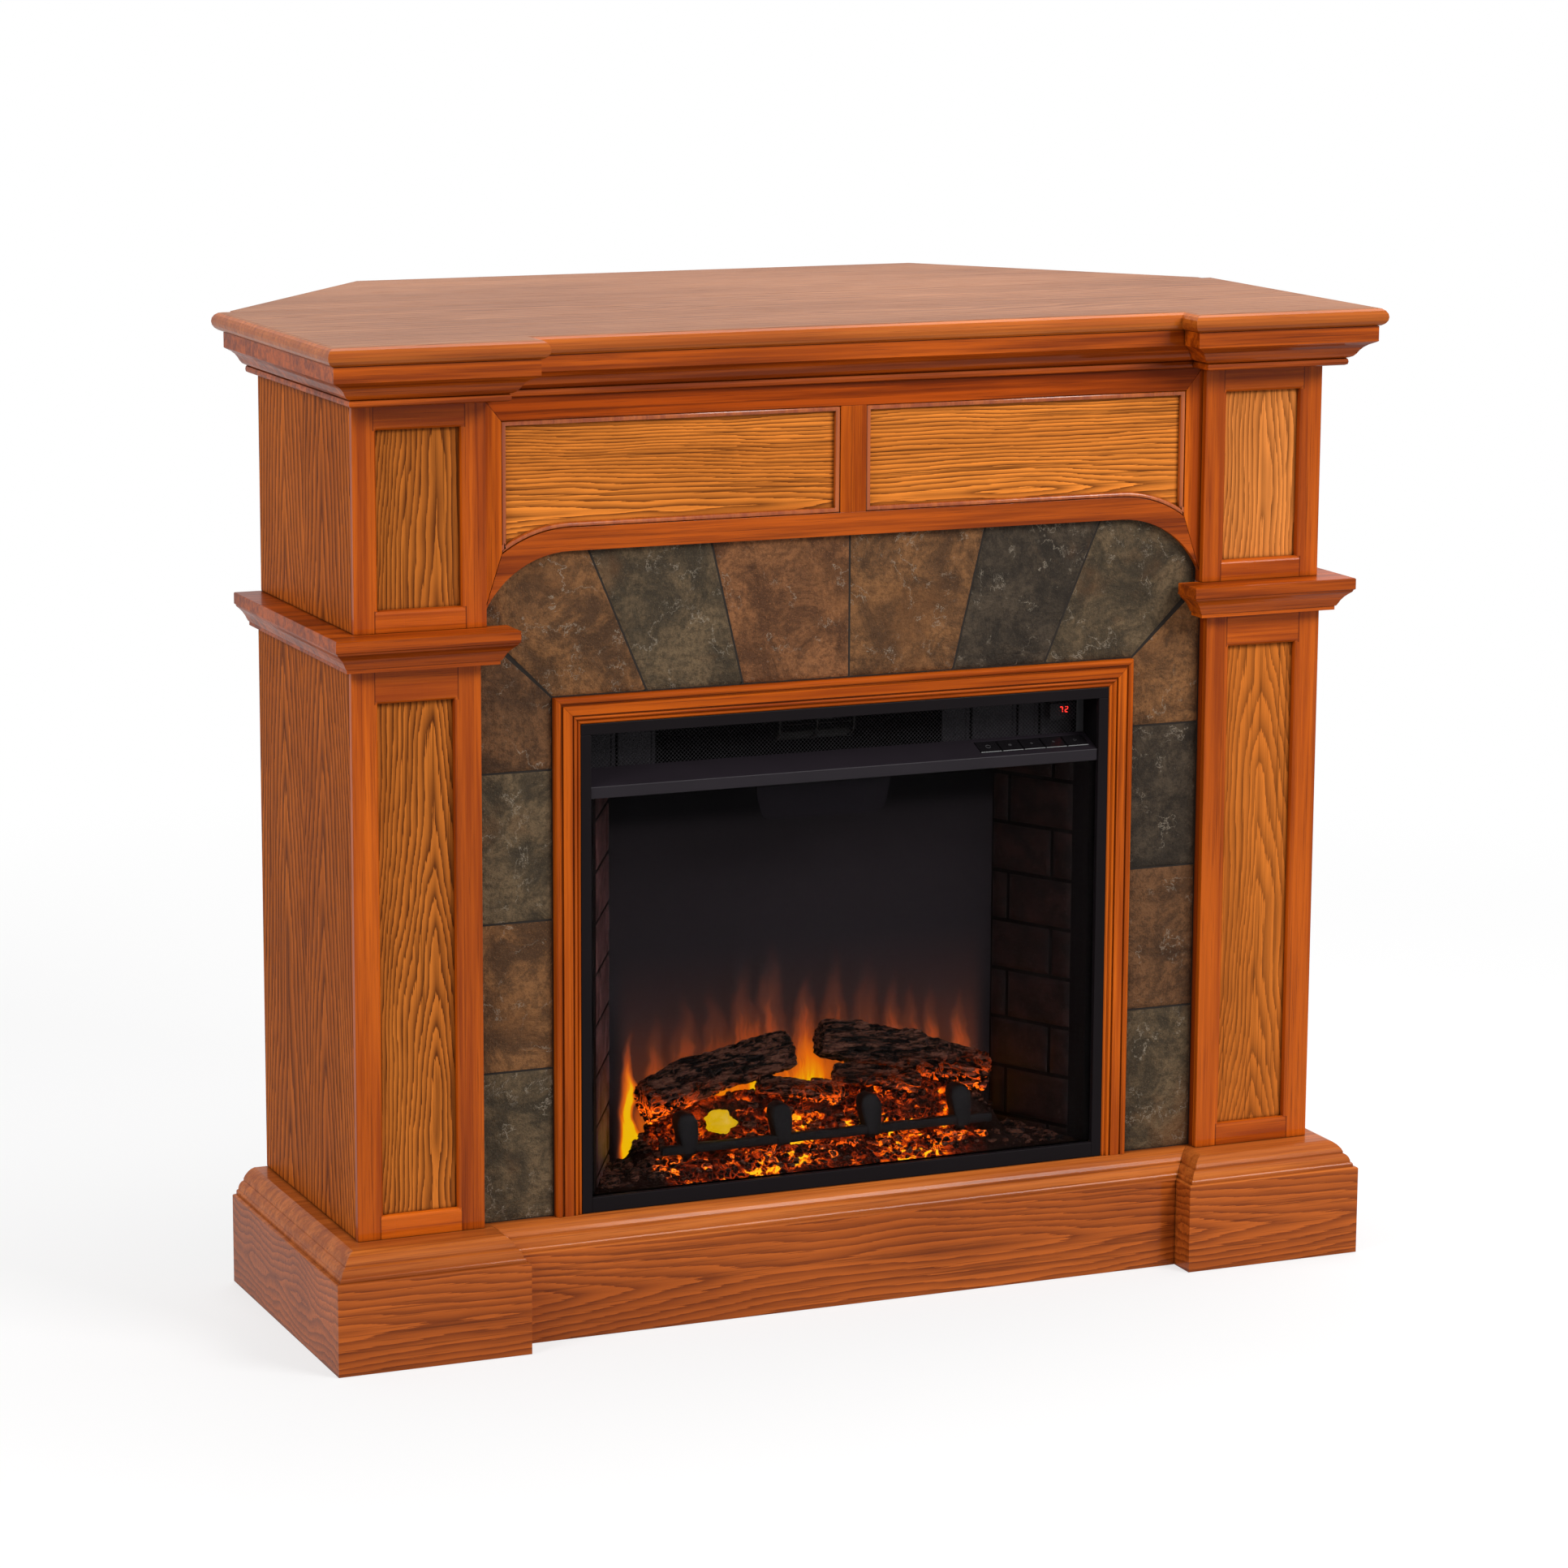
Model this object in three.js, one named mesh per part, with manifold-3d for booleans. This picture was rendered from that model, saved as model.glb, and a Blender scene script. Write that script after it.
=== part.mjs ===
// Corner fireplace: an oak-stained mantel with slate tiles round an electric log insert.
// Millimetres, +Z up. Pieces are laid out from the front face of the plinth blocks (y = 0),
// and the finished group is moved so that its origin is the middle of its footprint.
import * as THREE from 'three';
import { mergeVertices } from 'three/addons/utils/BufferGeometryUtils.js';
import Module from 'manifold-3d';

// ---------------------------------------------------------------- driving dimensions
const mantelWidth = 1155.7;
const carcassDepth = 356; // plinth front to the back edge of the sides
const breakDepth = 33; // how far the middle stands back from the pilaster blocks
const touch = 0.3; // clearance between cut or turned neighbours

// top board and its drop leaf
const topThickness = 19;
const topOverhang = 12; // top in front of the plinth
const topBlockWidth = 226;
const earWidth = 20; // side edgings that run on past the seam
const earLength = 16;
const seamSetback = 2; // seam behind the carcass, so that the leaf hangs clear of it
const leafReach = 291; // seam to the rear edge
const leafRearWidth = 662;
const leafGap = 0.6;

// crown, belt and plinth mouldings, as [inset from the outer edge, height from the bottom]
const crownProfile = [
  [33, 0], [30.6, 1.2], [30, 3.8], [30.6, 6.4], [32, 7.6], [29.6, 8.2], [26.6, 9.8], [24.2, 12.4],
  [22, 16], [19, 19.6], [15, 22.6], [11, 24.6], [9, 25.6], [7.5, 26.6], [7.5, 42.35],
];
const beltProfile = [
  [16, 0], [16, 4], [14.8, 4.4], [13.4, 6.8], [11.6, 10.4], [8.8, 14.4], [5.4, 17.8], [2.4, 20.4],
  [1.6, 22.4], [0, 23.4], [0, 34.2], [1, 35],
];
const plinthProfile = [
  [0, 0], [0, 93.6], [0.8, 94.5], [4.2, 95], [4.2, 98], [5, 99.2], [6.3, 99.7], [6.6, 102], [7.8, 105],
  [9.8, 107.4], [12.3, 108.6], [12.3, 110.6], [14, 114], [17.2, 117.6], [20.8, 120.2], [24.3, 121.5],
];

// plinth
const plinthSideInset = 1.35; // inside the top's side edge
const plinthBlockWidth = 204;
const plinthBarDepth = 42;
const hearthThickness = 18;
const mitreReach = 40; // how far the mitre runs into the block, more than any moulding's inset

// pilasters
const pilasterFront = 50;
const lowerSideInset = 38; // inside the plinth's side face
const lowerWidth = 134.3;
const upperSideInset = 3.5; // inside the lower pilaster's side face
const upperWidth = 137.3;
const beltRise = 43; // above the trim round the insert
const beltSideOverhang = 25.5;
const beltFrontOverhang = 32;
const beltInnerOverhang = 30.7;
const frameThickness = 8;
const boardThickness = 8;
const sideThickness = 16;
const lowerStile = 24;
const upperStile = 21.5;
const lowerTopRail = 31.4;
const lowerBottomRail = 20.3;
const upperTopRail = 23;
const upperBottomRail = 18.5;
const ovolo = [[0, 0], [1.4, 0.5], [2.9, 1.9], [3.8, 4.2], [3.8, frameThickness]]; // [into the window, depth]

// header above the tiles
const headerHeight = 156; // straight run of the arch to the crown
const headerFront = 58;
const headerThickness = 6;
const headerTopRail = 24;
const headerStile = 19.2;
const headerCentreStile = 28.6;
const headerPanelThickness = 8;
const archRail = 23.4;
const archRadius = 101.6; // lower edge at the two ends
const archEndRun = 91.8; // from the end of the straight run to the pilaster

// slate tiles
const tileBand = 148; // trim to the straight run of the arch
const cornerUnderBelt = 4; // corner joint meets the pilaster this far under the top of the belt
const slateThickness = 10;
const groutWidth = 2.4;
const groutDepth = 1.5;
const fanJoints = [[0, 0], [117.3, 152.3], [222, 285]]; // [x at the trim, x at the arch]
const tilePitch = 153.6;
const tileStart = 155.4; // first leg joint above the plinth

// reeded trim round the insert
const trimFace = 27.8;
const trimFront = 56;
const trimDepth = 16;
const trimReeds = [
  [0, 3.6], [0.8, 1.6], [2.4, 0.4], [4.4, 0.4], [6, 1.6], [6.8, 3.4], [8, 3.4], [8.6, 1.2], [18, 1.2],
  [18.6, 3.4], [19.6, 3.4], [20.2, 2], [21.4, 1.2], [22.6, 2], [23.2, 3.6], [24, 4.2], [25.2, 3.2],
  [26.6, 3.2], [27.8, 4.6],
]; // [across the face, depth behind the front]

// electric insert
const insertWidth = 590.8;
const insertHeight = 507.4;
const bezelFront = 60;
const bezelThickness = 6;
const bezelSide = 11.2;
const bezelTopBar = 11.4;
const bezelBottomBar = 16;
const glassThickness = 4;
const glassTuck = 5.8; // glass behind the bezel bars
const ledgeFront = 62;
const ledgeDepth = 33;
const ledgeDrop = 77.4; // below the top of the insert
const ledgeLip = 12.1;
const ledgeRise = 13.4;
const insertDepth = 170; // bezel front to the outside of the case back
const sheet = 2;
const grilleSlots = 40;
const grilleBar = 6;
const grilleBorder = 9;

// keys on the control ledge
const keyCount = 5;
const keyWidth = 24;
const keyDepth = 20;
const keyHeight = 3.6;
const keyProud = 0.4;
const keyGap = 1.2;
const keyMargin = 0.6;
const keyTravel = 1;
const keySetback = 9; // lip to the keys, along the slope
const keyEndInset = 6; // last key to the bezel

// firebox
const linerReveal = 5.5; // brick liner inside the bezel's edge
const wallFlange = 3; // lip of the liner behind the bezel
const screenLap = 6; // screen past the liner's edge, and tray past the screen
const fireboxBackWidth = 440;
const fireboxDepth = 110;
const trayHeight = 15.5;
const screenThickness = 3;
const bedWidth = 420;
const bedDepth = 92;
const bedSetback = 14; // behind the glass
const bedRise = 34;
const grateLength = 392;
const grateSection = 9;
const grateHeight = 40; // above the tray
const gratePosts = 4;
const gratePostHeight = 30;
const cradlePlaces = [-160, -70, 50, 150]; // along x, under the logs
const logSetback = 30; // in front of the back of the heap
const logLeftRadius = 24;
const logLeftOuter = [196, 70]; // [from the middle, above the tray] of an end
const logLeftInner = [30, 112];
const logRightRadius = 23;
const logRightOuter = [192, 66];
const logRightInner = [6, 118];
const logSkew = 12; // the inner end stands further back
const logBend = 4.5;
const cradleWidth = 26;
const cradleDepth = 20;
const cradleHeight = 88;
const heapColumns = 30;
const heapRows = 7;
const lumpHeight = 4.5;
const grateSetback = 16; // behind the front of the heap
const seatDepth = 1; // sunk into the piece below, so that joined shapes overlap
const logRings = 12;
const logSides = 12;

// blower, flame rotor and cable gland
const wheelRadius = 21;
const wheelLength = 86;
const wheelBlades = 16;
const wheelDisc = 2;
const bladeDepth = 5;
const bladeSheet = 0.9;
const bladeInset = 3.2; // middle of a blade inside the wheel's rim
const bladeLean = 0.5; // radians
const wheelDrop = 30; // wheel's shaft below the roof of the case
const wheelSetback = 62; // wheel's shaft in front of the case back
const earSheet = 3;
const earHalfWidth = 12;
const shaftRadius = 3;
const shaftClearance = 0.4;
const intakeSlots = 8; // air slots in the case back, out of sight behind the screen
const intakePitch = 34;
const intakeWidth = 24;
const intakeHeight = 8;
const intakeDrop = 34; // foot of the slots below the top of the screen
const rotorSpan = 380;
const rotorEarSpacing = 104;
const rotorHeight = 52; // above the hearth
const rotorSetback = 22; // in front of the case back
const rotorPaddles = 9;
const paddleWidth = 26;
const paddleRadius = 12;
const paddleSheet = 1.2;
const paddleFill = 0.8; // share of its place that a paddle takes
const paddleTwist = Math.PI / 5; // from one paddle to the next
const glandRadius = 9;
const glandLength = 13;
const glandBore = 4;
const glandFlange = 2.5;
const glandTaper = 2;
const glandHeight = 46; // above the hearth
const glandInset = 70; // from the side of the case

// leaf hinge
const knuckleRadius = 4;
const pinRadius = 1.8;
const hingeFlap = 26;
const hingeSheet = 1.5;
const hingeLength = 640;
const hingeKnuckles = 11;
const knuckleGap = 0.6;

// ---------------------------------------------------------------- derived places
const halfTop = mantelWidth / 2;
const topFront = -topOverhang;
const plinthTop = plinthProfile.at(-1)[1];
const insertTop = plinthTop + insertHeight;
const trimInnerTop = insertTop + touch;
const trimOuterTop = trimInnerTop + trimFace;
const archHeight = trimOuterTop + tileBand;
const crownBottom = archHeight + headerHeight;
const topBottom = crownBottom + crownProfile.at(-1)[1];
const mantelHeight = topBottom + topThickness;
const topBlockInner = halfTop - topBlockWidth;
const seamY = carcassDepth + seamSetback;
const leafRear = seamY + leafReach;
const plinthHalf = halfTop - plinthSideInset;
const plinthBlockInner = plinthHalf - plinthBlockWidth;
const lowerHalf = plinthHalf - lowerSideInset;
const lowerInner = lowerHalf - lowerWidth;
const upperHalf = lowerHalf - upperSideInset;
const upperInner = upperHalf - upperWidth;
const archStraightHalf = upperInner - archEndRun;
const beltBottom = trimOuterTop + beltRise;
const beltTop = beltBottom + beltProfile.at(-1)[1];
const boardFront = pilasterFront + frameThickness;
const headerBack = headerFront + headerThickness;
const slateFront = headerBack;
const trimInner = insertWidth / 2 + touch;
const trimOuter = trimInner + trimFace;
const bezelInner = insertWidth / 2 - bezelSide;
const bezelBack = bezelFront + bezelThickness;
const glassBack = bezelBack + glassThickness;
const caseBackOuter = bezelFront + insertDepth;
const caseBackInner = caseBackOuter - sheet;
const caseHalf = bezelInner + sheet;
const trayTop = plinthTop + trayHeight;
const trayFront = glassBack + touch;
const wallFront = glassBack + touch;
const flangeHalf = insertWidth / 2;
const wallBack = wallFront + fireboxDepth;
const screenBack = wallBack + screenThickness;
const trayBack = screenBack + screenLap;
const ledgeBottom = insertTop - ledgeDrop;
const wallTop = ledgeBottom - touch;
const roofBottom = insertTop - sheet;
const ledgeBack = ledgeFront + ledgeDepth;
const hingeY = seamY + leafGap / 2;
const hingeZ = topBottom - knuckleRadius - touch;

// ---------------------------------------------------------------- geometry helpers
const wasm = await Module();
wasm.setup();

function signedVolume(vertices, faces) {
  const cross = new THREE.Vector3();
  return faces.reduce((sum, [a, b, c]) => {
    cross.crossVectors(vertices[b], vertices[c]);
    return sum + vertices[a].dot(cross) / 6;
  }, 0);
}

function closedGeometry(vertices, faces) {
  const outward = signedVolume(vertices, faces) > 0;
  const ordered = outward ? faces : faces.map(([a, b, c]) => [a, c, b]);
  const geometry = new THREE.BufferGeometry();
  const positions = vertices.flatMap((v) => [v.x, v.y, v.z]);
  geometry.setAttribute('position', new THREE.Float32BufferAttribute(positions, 3));
  geometry.setIndex(ordered.flat());
  return geometry;
}

// Triangles that close a flat loop, turned the way that the loop runs.
function capFaces(loop) {
  const normal = new THREE.Vector3();
  loop.forEach((point, i) => {
    normal.add(new THREE.Vector3().crossVectors(point, loop[(i + 1) % loop.length]));
  });
  normal.normalize();
  const across = new THREE.Vector3().subVectors(loop[1], loop[0]).normalize();
  const up = new THREE.Vector3().crossVectors(normal, across);
  const flat = loop.map((point) => new THREE.Vector2(point.dot(across), point.dot(up)));
  return THREE.ShapeUtils.triangulateShape(flat, []);
}

// A closed body through loops that hold the same number of points. A ring closes on itself.
function loft(loops, ring = false) {
  const count = loops[0].length;
  const faces = [];
  const bands = ring ? loops.length : loops.length - 1;
  for (let i = 0; i < bands; i++) {
    const here = i * count;
    const next = ((i + 1) % loops.length) * count;
    for (let k = 0; k < count; k++) {
      const after = (k + 1) % count;
      faces.push([here + k, here + after, next + after], [here + k, next + after, next + k]);
    }
  }
  if (!ring) {
    const last = (loops.length - 1) * count;
    faces.push(...capFaces(loops[0]).map(([a, b, c]) => [a, c, b]));
    faces.push(...capFaces(loops.at(-1)).map((face) => face.map((index) => index + last)));
  }
  return closedGeometry(loops.flat(), faces);
}

function extruded(points, depth) {
  const shape = new THREE.Shape(points.map(([u, v]) => new THREE.Vector2(u, v)));
  return new THREE.ExtrudeGeometry(shape, { depth, bevelEnabled: false });
}

// Points are (x, y), (x, z) or (y, z): the plate lies flat, faces front or runs across.
const flatPlate = (points, z0, z1) => extruded(points, z1 - z0).translate(0, 0, z0);
const frontPlate = (points, y0, y1) =>
  extruded(points, y1 - y0).rotateX(Math.PI / 2).translate(0, y1, 0);
const crossBar = (points, x0, x1) =>
  extruded(points, x1 - x0).rotateX(Math.PI / 2).rotateZ(Math.PI / 2).translate(x0, 0, 0);
const rectangle = (u0, u1, v0, v1) => [[u0, v0], [u1, v0], [u1, v1], [u0, v1]];

function block(x0, x1, y0, y1, z0, z1) {
  const box = new THREE.BoxGeometry(x1 - x0, y1 - y0, z1 - z0);
  return box.translate((x0 + x1) / 2, (y0 + y1) / 2, (z0 + z1) / 2);
}

const rodAlongX = (radius, x0, x1, y, z, sides = 16) =>
  new THREE.CylinderGeometry(radius, radius, x1 - x0, sides)
    .rotateZ(Math.PI / 2)
    .translate((x0 + x1) / 2, y, z);

const mirroredX = (points) => points.map(([x, v]) => [-x, v]).reverse();

function arcPoints(centreX, centreZ, radius, fromAngle, toAngle, steps) {
  return Array.from({ length: steps + 1 }, (_, i) => {
    const angle = fromAngle + ((toAngle - fromAngle) * i) / steps;
    return [centreX + radius * Math.cos(angle), centreZ + radius * Math.sin(angle)];
  });
}

function toSolid(geometry) {
  const bare = geometry.clone();
  bare.deleteAttribute('normal');
  bare.deleteAttribute('uv');
  const merged = mergeVertices(bare);
  const mesh = new wasm.Mesh({
    numProp: 3,
    vertProperties: new Float32Array(merged.attributes.position.array),
    triVerts: new Uint32Array(merged.index.array),
  });
  return new wasm.Manifold(mesh);
}

function fromSolid(solid) {
  const { vertProperties, triVerts } = solid.getMesh();
  const geometry = new THREE.BufferGeometry();
  geometry.setAttribute('position', new THREE.BufferAttribute(new Float32Array(vertProperties), 3));
  geometry.setIndex(new THREE.BufferAttribute(new Uint32Array(triVerts), 1));
  return geometry;
}

const cut = (body, ...tools) =>
  fromSolid(tools.reduce((rest, tool) => rest.subtract(toSolid(tool)), toSolid(body)));
const join = (...bodies) =>
  fromSolid(bodies.slice(1).reduce((sum, body) => sum.add(toSolid(body)), toSolid(bodies[0])));
const common = (first, second) => fromSolid(toSolid(first).intersect(toSolid(second)));

// The outline of a board with its moulded edges drawn in by an inset. Corners run anticlockwise.
function insetOutline(corners, moulded, inset) {
  const edges = corners.map(([x, y], i) => {
    const [nextX, nextY] = corners[(i + 1) % corners.length];
    const length = Math.hypot(nextX - x, nextY - y);
    const along = [(nextX - x) / length, (nextY - y) / length];
    const shift = moulded[i] ? inset : 0;
    return { start: [x - along[1] * shift, y + along[0] * shift], along };
  });
  return edges.map((edge, i) => {
    const before = edges.at(i - 1);
    const dx = edge.start[0] - before.start[0];
    const dy = edge.start[1] - before.start[1];
    const turn = before.along[0] * edge.along[1] - before.along[1] * edge.along[0];
    const reach = (dx * edge.along[1] - dy * edge.along[0]) / turn;
    return [before.start[0] + before.along[0] * reach, before.start[1] + before.along[1] * reach];
  });
}

// A board whose moulded edges follow a profile of [inset, height] from its bottom face up.
function mouldedBoard(corners, moulded, profile, bottom) {
  return loft(profile.map(([inset, height]) =>
    insetOutline(corners, moulded, inset).map(([x, y]) => new THREE.Vector3(x, y, bottom + height))));
}

// The edge flags of an outline once its corners have been mirrored.
const mirroredEdges = (flags) => [...flags.slice(0, -1).reverse(), flags.at(-1)];

// A full-width board that breaks forward over both pilasters, moulded on all but its back edge.
function breakfrontBoard(half, innerX, front, profile, bottom) {
  const corners = [
    [-half, front], [-innerX, front], [-innerX, front + breakDepth], [innerX, front + breakDepth],
    [innerX, front], [half, front], [half, carcassDepth], [-half, carcassDepth],
  ];
  return mouldedBoard(corners, [1, 1, 1, 1, 1, 1, 0, 1], profile, bottom);
}

// Cuts a breakfront board at its mitres into a left block, a middle bar and a right block.
function splitBreakfront(board, innerX, front, bottom, top, barDepth) {
  const breakY = front + breakDepth;
  const far = mantelWidth;
  const gap = touch * Math.SQRT2;
  const under = bottom - 1;
  const over = top + 1;
  const leftOutline = [
    [-far, -far], [-innerX + mitreReach, -far], [-innerX + mitreReach, breakY - mitreReach],
    [-innerX - mitreReach, breakY + mitreReach], [-innerX - mitreReach, far], [-far, far],
  ];
  const halfMiddle = [
    [innerX - mitreReach - gap, -far], [innerX - mitreReach - gap, breakY - mitreReach],
    [innerX + mitreReach - gap, breakY + mitreReach], [innerX + mitreReach - gap, breakY + barDepth],
  ];
  const middleOutline = [...halfMiddle, ...mirroredX(halfMiddle)];
  return {
    left: common(board, flatPlate(leftOutline, under, over)),
    middle: common(board, flatPlate(middleOutline, under, over)),
    right: common(board, flatPlate(mirroredX(leftOutline), under, over)),
  };
}

// A flat frame in the front plane whose window has a moulded edge.
function windowFrame(x0, x1, z0, z1, window, front, thickness, edge) {
  const ring = (a0, a1, b0, b1, y) => rectangle(a0, a1, b0, b1).map(([x, z]) => new THREE.Vector3(x, y, z));
  const [u0, u1, v0, v1] = window;
  const loops = edge.map(([into, depth]) =>
    ring(u0 + into, u1 - into, v0 + into, v1 - into, front + depth));
  return loft([...loops, ring(x0, x1, z0, z1, front + thickness), ring(x0, x1, z0, z1, front)], true);
}

// ---------------------------------------------------------------- finishes and assembly
const mantel = new THREE.Group();
const stain = [0xb5561c, 0.42, 0];
const veneer = [0xb9702c, 0.45, 0];
const darkStain = [0x8f3f17, 0.42, 0];
const slate = [0x5a5245, 0.75, 0];
const blackSteel = [0x1b1b1e, 0.45, 0.6];
const blackPlastic = [0x151518, 0.4, 0];
const zinc = [0xa8a8a4, 0.35, 0.9];

function add(name, geometry, [color, roughness, metalness], extra = {}) {
  const material = new THREE.MeshStandardMaterial({ color, roughness, metalness, ...extra });
  const mesh = new THREE.Mesh(geometry, material);
  mesh.name = name;
  mantel.add(mesh);
  return mesh;
}

const sides = [['left', -1], ['right', 1]];
const mirrored = (side, points) => (side < 0 ? mirroredX(points) : points);
// A span from the centre outwards, put on its side of the centre line.
const span = (side, inner, outer) => (side < 0 ? [-outer, -inner] : [inner, outer]);

// ---------------------------------------------------------------- top board
{
  const half = halfTop;
  const earInner = half - earWidth;
  const corners = [
    [-half, topFront], [-topBlockInner, topFront], [-topBlockInner, topFront + breakDepth],
    [topBlockInner, topFront + breakDepth], [topBlockInner, topFront], [half, topFront],
    [half, seamY + earLength], [earInner, seamY + earLength], [earInner, seamY],
    [-earInner, seamY], [-earInner, seamY + earLength], [-half, seamY + earLength],
  ];
  const moulded = [1, 1, 1, 1, 1, 1, 1, 0, 0, 0, 1, 1];
  const radius = topThickness / 2;
  const bullnose = Array.from({ length: 9 }, (_, i) => {
    const angle = -Math.PI / 2 + (Math.PI * i) / 8;
    return [radius * (1 - Math.cos(angle)), radius * (1 + Math.sin(angle))];
  });
  add('top_board', mouldedBoard(corners, moulded, bullnose, topBottom), veneer);
}

// ---------------------------------------------------------------- crown moulding
{
  const board = breakfrontBoard(halfTop, topBlockInner, topFront, crownProfile, crownBottom);
  const crown = splitBreakfront(board, topBlockInner, topFront, crownBottom, topBottom, plinthBarDepth + 12);
  add('crown_left', crown.left, stain);
  add('crown_middle', crown.middle, stain);
  add('crown_right', crown.right, stain);
}

// ---------------------------------------------------------------- plinth and hearth board
{
  const board = breakfrontBoard(plinthHalf, plinthBlockInner, 0, plinthProfile, 0);
  const plinth = splitBreakfront(board, plinthBlockInner, 0, 0, plinthTop, plinthBarDepth);
  add('plinth_left', plinth.left, darkStain);
  add('plinth_middle', plinth.middle, darkStain);
  add('plinth_right', plinth.right, darkStain);

  const hearthHalf = plinthBlockInner + mitreReach;
  const hearthFront = breakDepth + plinthBarDepth;
  add('hearth_board', block(-hearthHalf, hearthHalf, hearthFront, carcassDepth,
    plinthTop - hearthThickness, plinthTop), veneer);
}

// ---------------------------------------------------------------- pilasters
for (const [label, side] of sides) {
  // Lower box: panelled front, side board.
  const [lowA, lowB] = span(side, lowerInner, lowerHalf);
  const lowWindow = [
    lowA + lowerStile, lowB - lowerStile, plinthTop + lowerBottomRail, beltBottom - lowerTopRail,
  ];
  add(`lower_frame_${label}`, windowFrame(lowA, lowB, plinthTop, beltBottom, lowWindow,
    pilasterFront, frameThickness, ovolo), stain);
  const lowerBoard = span(side, lowerInner, lowerHalf - sideThickness);
  add(`lower_panel_${label}`, block(...lowerBoard, boardFront, boardFront + boardThickness,
    plinthTop, beltBottom), veneer);
  const lowerSide = span(side, lowerHalf - sideThickness, lowerHalf);
  add(`side_lower_${label}`, block(...lowerSide, boardFront, carcassDepth, plinthTop, beltBottom), veneer);

  // Belt: a moulded board between the two boxes, with a return to the tiles.
  const beltInner = lowerInner - beltInnerOverhang;
  const beltFront = pilasterFront - beltFrontOverhang;
  const beltHalf = lowerHalf + beltSideOverhang;
  const returnBack = headerFront - touch;
  const beltCorners = [
    [lowerInner, carcassDepth], [lowerInner, returnBack], [beltInner, returnBack], [beltInner, beltFront],
    [beltHalf, beltFront], [beltHalf, carcassDepth],
  ];
  const beltMoulded = [0, 0, 1, 1, 1, 0];
  add(`belt_${label}`, mouldedBoard(mirrored(side, beltCorners),
    side < 0 ? mirroredEdges(beltMoulded) : beltMoulded, beltProfile, beltBottom), stain);

  // Upper box.
  const [upA, upB] = span(side, upperInner, upperHalf);
  const upWindow = [
    upA + upperStile, upB - upperStile, beltTop + upperBottomRail, crownBottom - upperTopRail,
  ];
  add(`upper_frame_${label}`, windowFrame(upA, upB, beltTop, crownBottom, upWindow,
    pilasterFront, frameThickness, ovolo), stain);
  const upperBoard = span(side, upperInner, upperHalf - sideThickness);
  add(`upper_panel_${label}`, block(...upperBoard, boardFront, boardFront + boardThickness,
    beltTop, crownBottom), veneer);
  const upperSide = span(side, upperHalf - sideThickness, upperHalf);
  add(`side_upper_${label}`, block(...upperSide, boardFront, carcassDepth, beltTop, crownBottom), veneer);
}

// ---------------------------------------------------------------- header
const archCentreZ = archHeight - archRadius;
const archSteps = 12;

// Half of a line that follows the arch at a distance above its lower edge, out to a given x.
function archLine(above, outerX) {
  const radius = archRadius + above;
  const endAngle = Math.acos(Math.min(1, (outerX - archStraightHalf) / radius));
  return arcPoints(archStraightHalf, archCentreZ, radius, endAngle, Math.PI / 2, archSteps);
}

const archLineFull = (above, outerX) => {
  const right = archLine(above, outerX);
  return [...right, ...mirroredX(right)];
};

{
  const inner = upperInner - headerStile;
  const railBottom = crownBottom - headerTopRail;
  add('header_top_rail', frontPlate([
    [-inner, railBottom], [inner, railBottom], [upperInner, crownBottom], [-upperInner, crownBottom],
  ], headerFront, headerBack), stain);

  const archLower = archLineFull(0, upperInner);
  const archUpper = archLineFull(archRail, inner);
  add('header_arch_rail', frontPlate([...archUpper, ...archLower.reverse()], headerFront, headerBack), stain);

  const lowerTip = archLine(0, upperInner)[0];
  const upperTip = archLine(archRail, inner)[0];
  for (const [label, side] of sides) {
    const outline = [
      [inner, upperTip[1] + 2 * touch], [upperInner, lowerTip[1] + 4 * touch],
      [upperInner, crownBottom - 2 * touch], [inner, railBottom - touch],
    ];
    add(`header_stile_${label}`, frontPlate(mirrored(side, outline), headerFront, headerBack), stain);
  }

  const half = headerCentreStile / 2;
  add('header_centre_stile', block(-half, half, headerFront, headerBack,
    archHeight + archRail, railBottom), stain);

  const midLine = archLineFull(archRail / 2 + touch, upperInner - touch);
  add('header_panel', frontPlate([
    ...midLine, [-upperInner + touch, crownBottom], [upperInner - touch, crownBottom],
  ], headerBack, headerBack + headerPanelThickness), veneer);
}

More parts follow.
